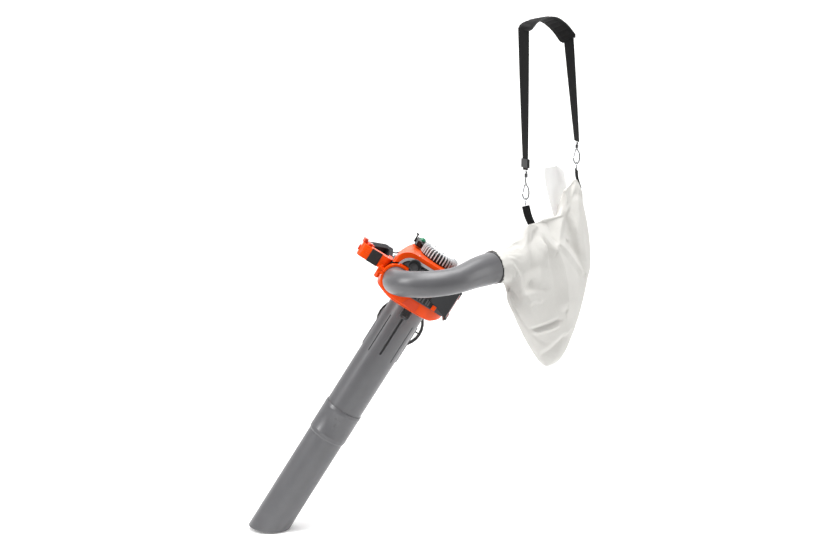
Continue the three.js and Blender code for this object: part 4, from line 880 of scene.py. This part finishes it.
def bag():
    rings = pouch_rings(48, 36)
    around = len(rings[0])
    verts = [v for ring in rings for v in ring]
    faces = ring_faces(len(rings), around, (True, True))
    base = bpy.data.meshes.new("pouch")
    base.from_pydata([tuple(v) for v in verts], [], faces)
    face_outward(base)
    neck_line = [NECK_MOUTH + NECK_WAY * (-SLEEVE_INSET + SLEEVE_LENGTH * k / 9) for k in range(10)]

    def neck_radius(s, a):
        d = s * SLEEVE_LENGTH - SLEEVE_INSET
        pleat = 0.0009 * math.sin(14 * a) * (1 - smoothstep(d, 0.0, 0.05))
        return 0.0502 + 0.034 * smoothstep(d / 0.15, 0, 0.9) + pleat

    neck_rings = swept_rings(neck_line, neck_radius, 84, UP)
    shell = bpy.data.objects.new("bag_shell", base)
    bpy.context.scene.collection.objects.link(shell)
    sleeve = bpy.data.meshes.new("sleeve")
    sleeve_verts = [tuple(v) for ring in neck_rings for v in ring]
    sleeve.from_pydata(sleeve_verts, [], ring_faces(10, 84, (True, True)))
    face_outward(sleeve)
    tool = bpy.data.objects.new("sleeve_tool", sleeve)
    bpy.context.scene.collection.objects.link(tool)
    union = shell.modifiers.new("union", "BOOLEAN")
    union.operation = "UNION"
    union.object = tool
    union.solver = "EXACT"
    remesh = shell.modifiers.new("even", "REMESH")
    remesh.mode = "VOXEL"
    remesh.voxel_size = VOXEL
    bpy.context.view_layer.update()
    done = bpy.data.meshes.new_from_object(shell.evaluated_get(bpy.context.evaluated_depsgraph_get()))
    shell.modifiers.clear()
    shell.data = done
    bpy.data.objects.remove(tool)

    b = bmesh.new()
    b.from_mesh(done)
    mouth = []
    for v in b.verts:
        from_mouth = v.co - NECK_MOUTH
        if from_mouth.dot(NECK_WAY) < 0.0 and from_mouth.length < 0.09:
            mouth.append(v)
    bmesh.ops.delete(b, geom=mouth, context="VERTS")
    bmesh.ops.smooth_vert(b, verts=b.verts, factor=0.5, use_axis_x=True, use_axis_y=True, use_axis_z=True)
    for v in b.verts:
        along_neck = (v.co - NECK_MOUTH).dot(NECK_WAY)
        off_neck = (v.co - NECK_MOUTH - NECK_WAY * along_neck).length
        keep = smoothstep(along_neck, 0.05, 0.12) if off_neck < 0.095 and along_neck < 0.13 else 1.0
        front = smoothstep((v.co - BAG_AT).dot(BAG_V), -0.012, 0.03)
        lift = fold_height(v.co.x * 1000, v.co.z * 1000) / 1000 * front * keep
        v.co += BAG_V * lift * 0.6 + Vector((0, -1, 0)) * lift * 0.4
    b.normal_update()
    b.to_mesh(done)
    b.free()

    rest = np.array([v.co for v in done.vertices], float)
    pins = shell.vertex_groups.new(name="held")
    held = []
    for v in done.vertices:
        along_neck = (v.co - NECK_MOUTH).dot(NECK_WAY)
        near_mouth = along_neck < 0.03 and (v.co - NECK_MOUTH).length < 0.09
        near_tab = (v.co - mm(466, -104, 98)).length < 0.022
        far_tab = (v.co - mm(636, 96, 190)).length < 0.03
        if near_mouth or near_tab or far_tab:
            held.append(v.index)
    pins.add(held, 1.0, "REPLACE")
    # The air in the bag eases the cloth between its folds; the movement is capped.
    cloth = shell.modifiers.new("cloth", "CLOTH")
    s = cloth.settings
    s.quality = 6
    s.mass = 0.12
    s.tension_stiffness = 18
    s.compression_stiffness = 18
    s.shear_stiffness = 8
    s.bending_stiffness = 0.25
    s.air_damping = 3
    s.vertex_group_mass = "held"
    s.shrink_min = -0.018
    s.use_pressure = True
    s.uniform_pressure_force = 0.6
    cloth.collision_settings.use_collision = False
    scene = bpy.context.scene
    for f in range(1, CLOTH_FRAMES + 1):
        scene.frame_set(f)
    moved = bpy.data.meshes.new_from_object(shell.evaluated_get(bpy.context.evaluated_depsgraph_get()))
    after = np.array([v.co for v in moved.vertices], float)
    shell.modifiers.clear()
    bpy.data.meshes.remove(moved)
    scene.frame_set(1)
    step = after - rest
    size = np.linalg.norm(step, axis=1, keepdims=True)
    step *= np.minimum(1, CLOTH_CAP / np.maximum(size, 1e-9))
    for v, p in zip(done.vertices, rest + step):
        v.co = p
    done.materials.clear()
    done.materials.append(CLOTH)
    smooth = shell.modifiers.new("smooth", "SUBSURF")
    smooth.levels = smooth.render_levels = 1
    thick = shell.modifiers.new("thick", "SOLIDIFY")
    thick.thickness = 0.0007
    thick.offset = -1
    done.shade_smooth()
    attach(shell, "machine")
    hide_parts("bag")


def bag_flap():
    """The back panel's top, a single thickness that stands up behind the opening."""

    def at(u, v, z):
        p = BAG_AT + (BAG_U * u + BAG_V * v) / 1000
        return Vector((p.x, p.y, z / 1000))

    spine = catmull([at(86, -12, 92), at(92, -34, 160), at(98, -52, 214), at(102, -60, 246)], 22)
    verts = []
    columns = 20
    for i, p in enumerate(spine):
        s = i / (len(spine) - 1)
        for j in range(columns + 1):
            x = j / columns - 0.5
            drop = (0.010 * abs(x) ** 1.5 + 0.052 * max(x - 0.08, 0) ** 1.2) * s
            wave = 0.004 * math.sin(5 * x + 2.2 * s) + 0.0025 * math.sin(11 * x - 3 * s)
            width = 0.119 * (0.90 + 0.10 * math.sin(3.0 * s + 0.15))
            verts.append(p + BAG_U * x * width + BAG_V * wave * s + Vector((0, 0, -drop)))
    n = columns + 1
    faces = []
    for i in range(len(spine) - 1):
        for j in range(columns):
            corner = i * n + j
            faces.append((corner, corner + 1, corner + n + 1, corner + n))
    o = piece("bag_back_flap", verts, faces, THIN_CLOTH, slot="bag_cloth")
    sub = o.modifiers.new("smooth", "SUBSURF")
    sub.levels = sub.render_levels = 1


bag()
bag_flap()

# ------------------------------------------------------------------ strap
NEAR = {"hook": mm(452, -111, 200), "low": mm(450, -109, 256), "top": mm(440, -91, 660)}
FAR = {"hook": mm(623, 88, 286), "low": mm(622, 86, 324), "top": mm(587, 49, 626)}
TAB_DROP = 0.0501
PAD_TOP = mm(517, -12, 693)
ACROSS = Vector((0.77, -0.64, 0))
PAD_END_ACROSS = Vector((0.78, -0.45, 0.42))
WEB, THICK = 0.036, 0.0022
PAD_WIDE, PAD_THICK = 0.054, 0.0098


def straps():
    near_top = NEAR["hook"] - Vector((0, 0, TAB_DROP))
    far_top = FAR["hook"] - Vector((0, 0, TAB_DROP))
    for name, top, a, b, across in (
        ("near", near_top, (18, 3, -54), (7, -2, -28), Vector((0.9, -0.3, 0))),
        ("far", far_top, (14, 10, -58), (3, 8, -24), Vector((0.2, -1, 0))),
    ):
        points = [top + mm(*a), top + mm(*b), top]
        line = stations_through(points, [across, across], 26)
        webbing(f"{name}_tab_web", line, 0.024, 0.0032, stands_for=[f"{name}_tab"], slot="webbing")

    def turning(first, last):
        angles = [math.radians(first + (last - first) * k / 6) for k in range(7)]
        return [Vector((math.cos(a), -math.sin(a), 0)) for a in angles]

    near_across, far_across = turning(73, 30), turning(73, 39)
    near_points = [NEAR["low"].lerp(NEAR["top"] + Vector((0, 0, 0.010)), k / 4) for k in range(5)]
    far_points = [FAR["low"].lerp(FAR["top"] + Vector((0, 0, 0.010)), k / 4) for k in range(5)]
    near_line = stations_through(near_points, near_across, 90)
    far_line = stations_through(far_points, far_across, 72)
    webbing("near_web", near_line, WEB, THICK, stands_for=["near_strap"], slot="webbing")
    webbing("far_web", far_line, WEB, THICK, stands_for=["far_strap"], slot="webbing")


def pad():
    arch = [NEAR["top"] + mm(0, 0, 2), NEAR["top"] + mm(24, 16, 25), PAD_TOP]
    arch += [FAR["top"] + mm(-32, -24, 44), FAR["top"] + mm(2, 2, 5)]
    path = catmull(arch, 150)
    ways = tangents(path)
    verts = []
    around = 36
    for i, (p, way) in enumerate(zip(path, ways)):
        s = i / (len(path) - 1)
        across = ACROSS.lerp(PAD_END_ACROSS, s)
        side = (across - across.dot(way) * way).normalized()
        up_way = side.cross(way)
        ends = min(s, 1 - s)
        width = PAD_WIDE * (0.80 + 0.20 * smoothstep(ends, 0.0, 0.05))
        thick = PAD_THICK * (0.35 + 0.65 * smoothstep(ends, 0.0, 0.05))
        quilt = abs(math.sin(math.pi * s * 11)) ** 0.5
        for j in range(around):
            a = 2 * math.pi * j / around
            x, y = math.cos(a), math.sin(a)
            flat = math.copysign(abs(x) ** 0.62, x)
            crown = math.copysign(abs(y) ** 0.75, y)
            lane = 1 - 0.28 * (1 - smoothstep(abs(abs(flat) - 0.72), 0.0, 0.08))
            puff = (0.62 + 0.38 * quilt if abs(flat) < 0.72 else 0.7) * lane
            verts.append(p + side * flat * width / 2 + up_way * crown * thick / 2 * puff)
    faces = ring_faces(len(path), around, (True, True))
    o = piece("shoulder_pad_quilt", verts, faces, PAD_CLOTH, stands_for=["shoulder_pad"], slot="webbing")
    for sign, name in ((-1, "pad_binding_far"), (1, "pad_binding_near")):
        line = []
        for i, (p, way) in enumerate(zip(path, ways)):
            share = i / (len(path) - 1)
            across = ACROSS.lerp(PAD_END_ACROSS, share)
            side = (across - across.dot(way) * way).normalized()
            narrowed = 0.80 + 0.20 * smoothstep(min(share, 1 - share), 0, 0.05)
            line.append(p + side * sign * 0.0262 * narrowed)
        rod(name, line, 0.0016, RUBBER, around=8, slot="webbing")


PAD_CLOTH = woven("pad_cloth", (0.0060, 0.0060, 0.0065), 700)
straps()
pad()

# ------------------------------------------------------------------ camera, floor and light
camera = bpy.data.objects.new("camera", bpy.data.cameras.new("camera"))
bpy.context.scene.collection.objects.link(camera)
camera.location = (0.12447, -4.22310, 0.69929)
camera.rotation_euler = (math.radians(79.5), 0, 0)
camera.data.sensor_width = 36
camera.data.lens = 60.72
camera.data.clip_end = 60
bpy.context.scene.camera = camera

floor_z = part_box("lower_suction_tube")[0].z - 0.0005
floor_mesh = bpy.data.meshes.new("floor")
rows = []
turns = [math.pi / 24 * k for k in range(1, 13)]
sections = [(-2.6, 0.0), (2.2, 0.0)]
sections += [(2.2 + 2.0 * math.sin(a), 2.0 * (1 - math.cos(a))) for a in turns]
sections += [(4.2, 9)]
for y, z in sections:
    rows += [(-12, y, floor_z + z), (12, y, floor_z + z)]
strips = [(2 * i, 2 * i + 1, 2 * i + 3, 2 * i + 2) for i in range(len(sections) - 1)]
floor_mesh.from_pydata(rows, [], strips)
floor_mesh.shade_smooth()
floor = bpy.data.objects.new("floor", floor_mesh)
bpy.context.scene.collection.objects.link(floor)
paper, _, _, paper_bsdf = new_material("pale_floor")
paper_bsdf.inputs["Base Color"].default_value = (0.93, 0.93, 0.93, 1)
paper_bsdf.inputs["Roughness"].default_value = 1.0
paper_bsdf.inputs["Specular IOR Level"].default_value = 0.0
paper_bsdf.inputs["Emission Color"].default_value = (1, 1, 1, 1)
paper_bsdf.inputs["Emission Strength"].default_value = 0.20
floor_mesh.materials.append(paper)

world = bpy.data.worlds.new("studio")
bpy.context.scene.world = world
world.use_nodes = True
world.node_tree.nodes["Background"].inputs["Color"].default_value = (1.0, 1.0, 1.0, 1)
world.node_tree.nodes["Background"].inputs["Strength"].default_value = 0.13


def area_light(name, location, target, size, power, size_y=None):
    data = bpy.data.lights.new(name, "AREA")
    data.energy = power
    data.size = size
    if size_y:
        data.shape = "RECTANGLE"
        data.size_y = size_y
    o = bpy.data.objects.new(name, data)
    bpy.context.scene.collection.objects.link(o)
    o.location = location
    o.rotation_euler = (Vector(target) - Vector(location)).to_track_quat("-Z", "Y").to_euler()


area_light("key", (-2.9, -1.5, 2.0), (0.0, 0, -0.1), 0.9, 118, 2.2)
area_light("fill", (3.2, -0.9, 0.5), (0.3, 0, 0), 0.7, 34, 2.4)
area_light("top", (0.4, 0.6, 3.4), (0.2, 0, 0), 2.2, 120)
area_light("backdrop", (0.0, -1.0, 3.8), (0.0, 3.2, 0.3), 3.0, 190)
bpy.context.scene.view_settings.view_transform = "Standard"
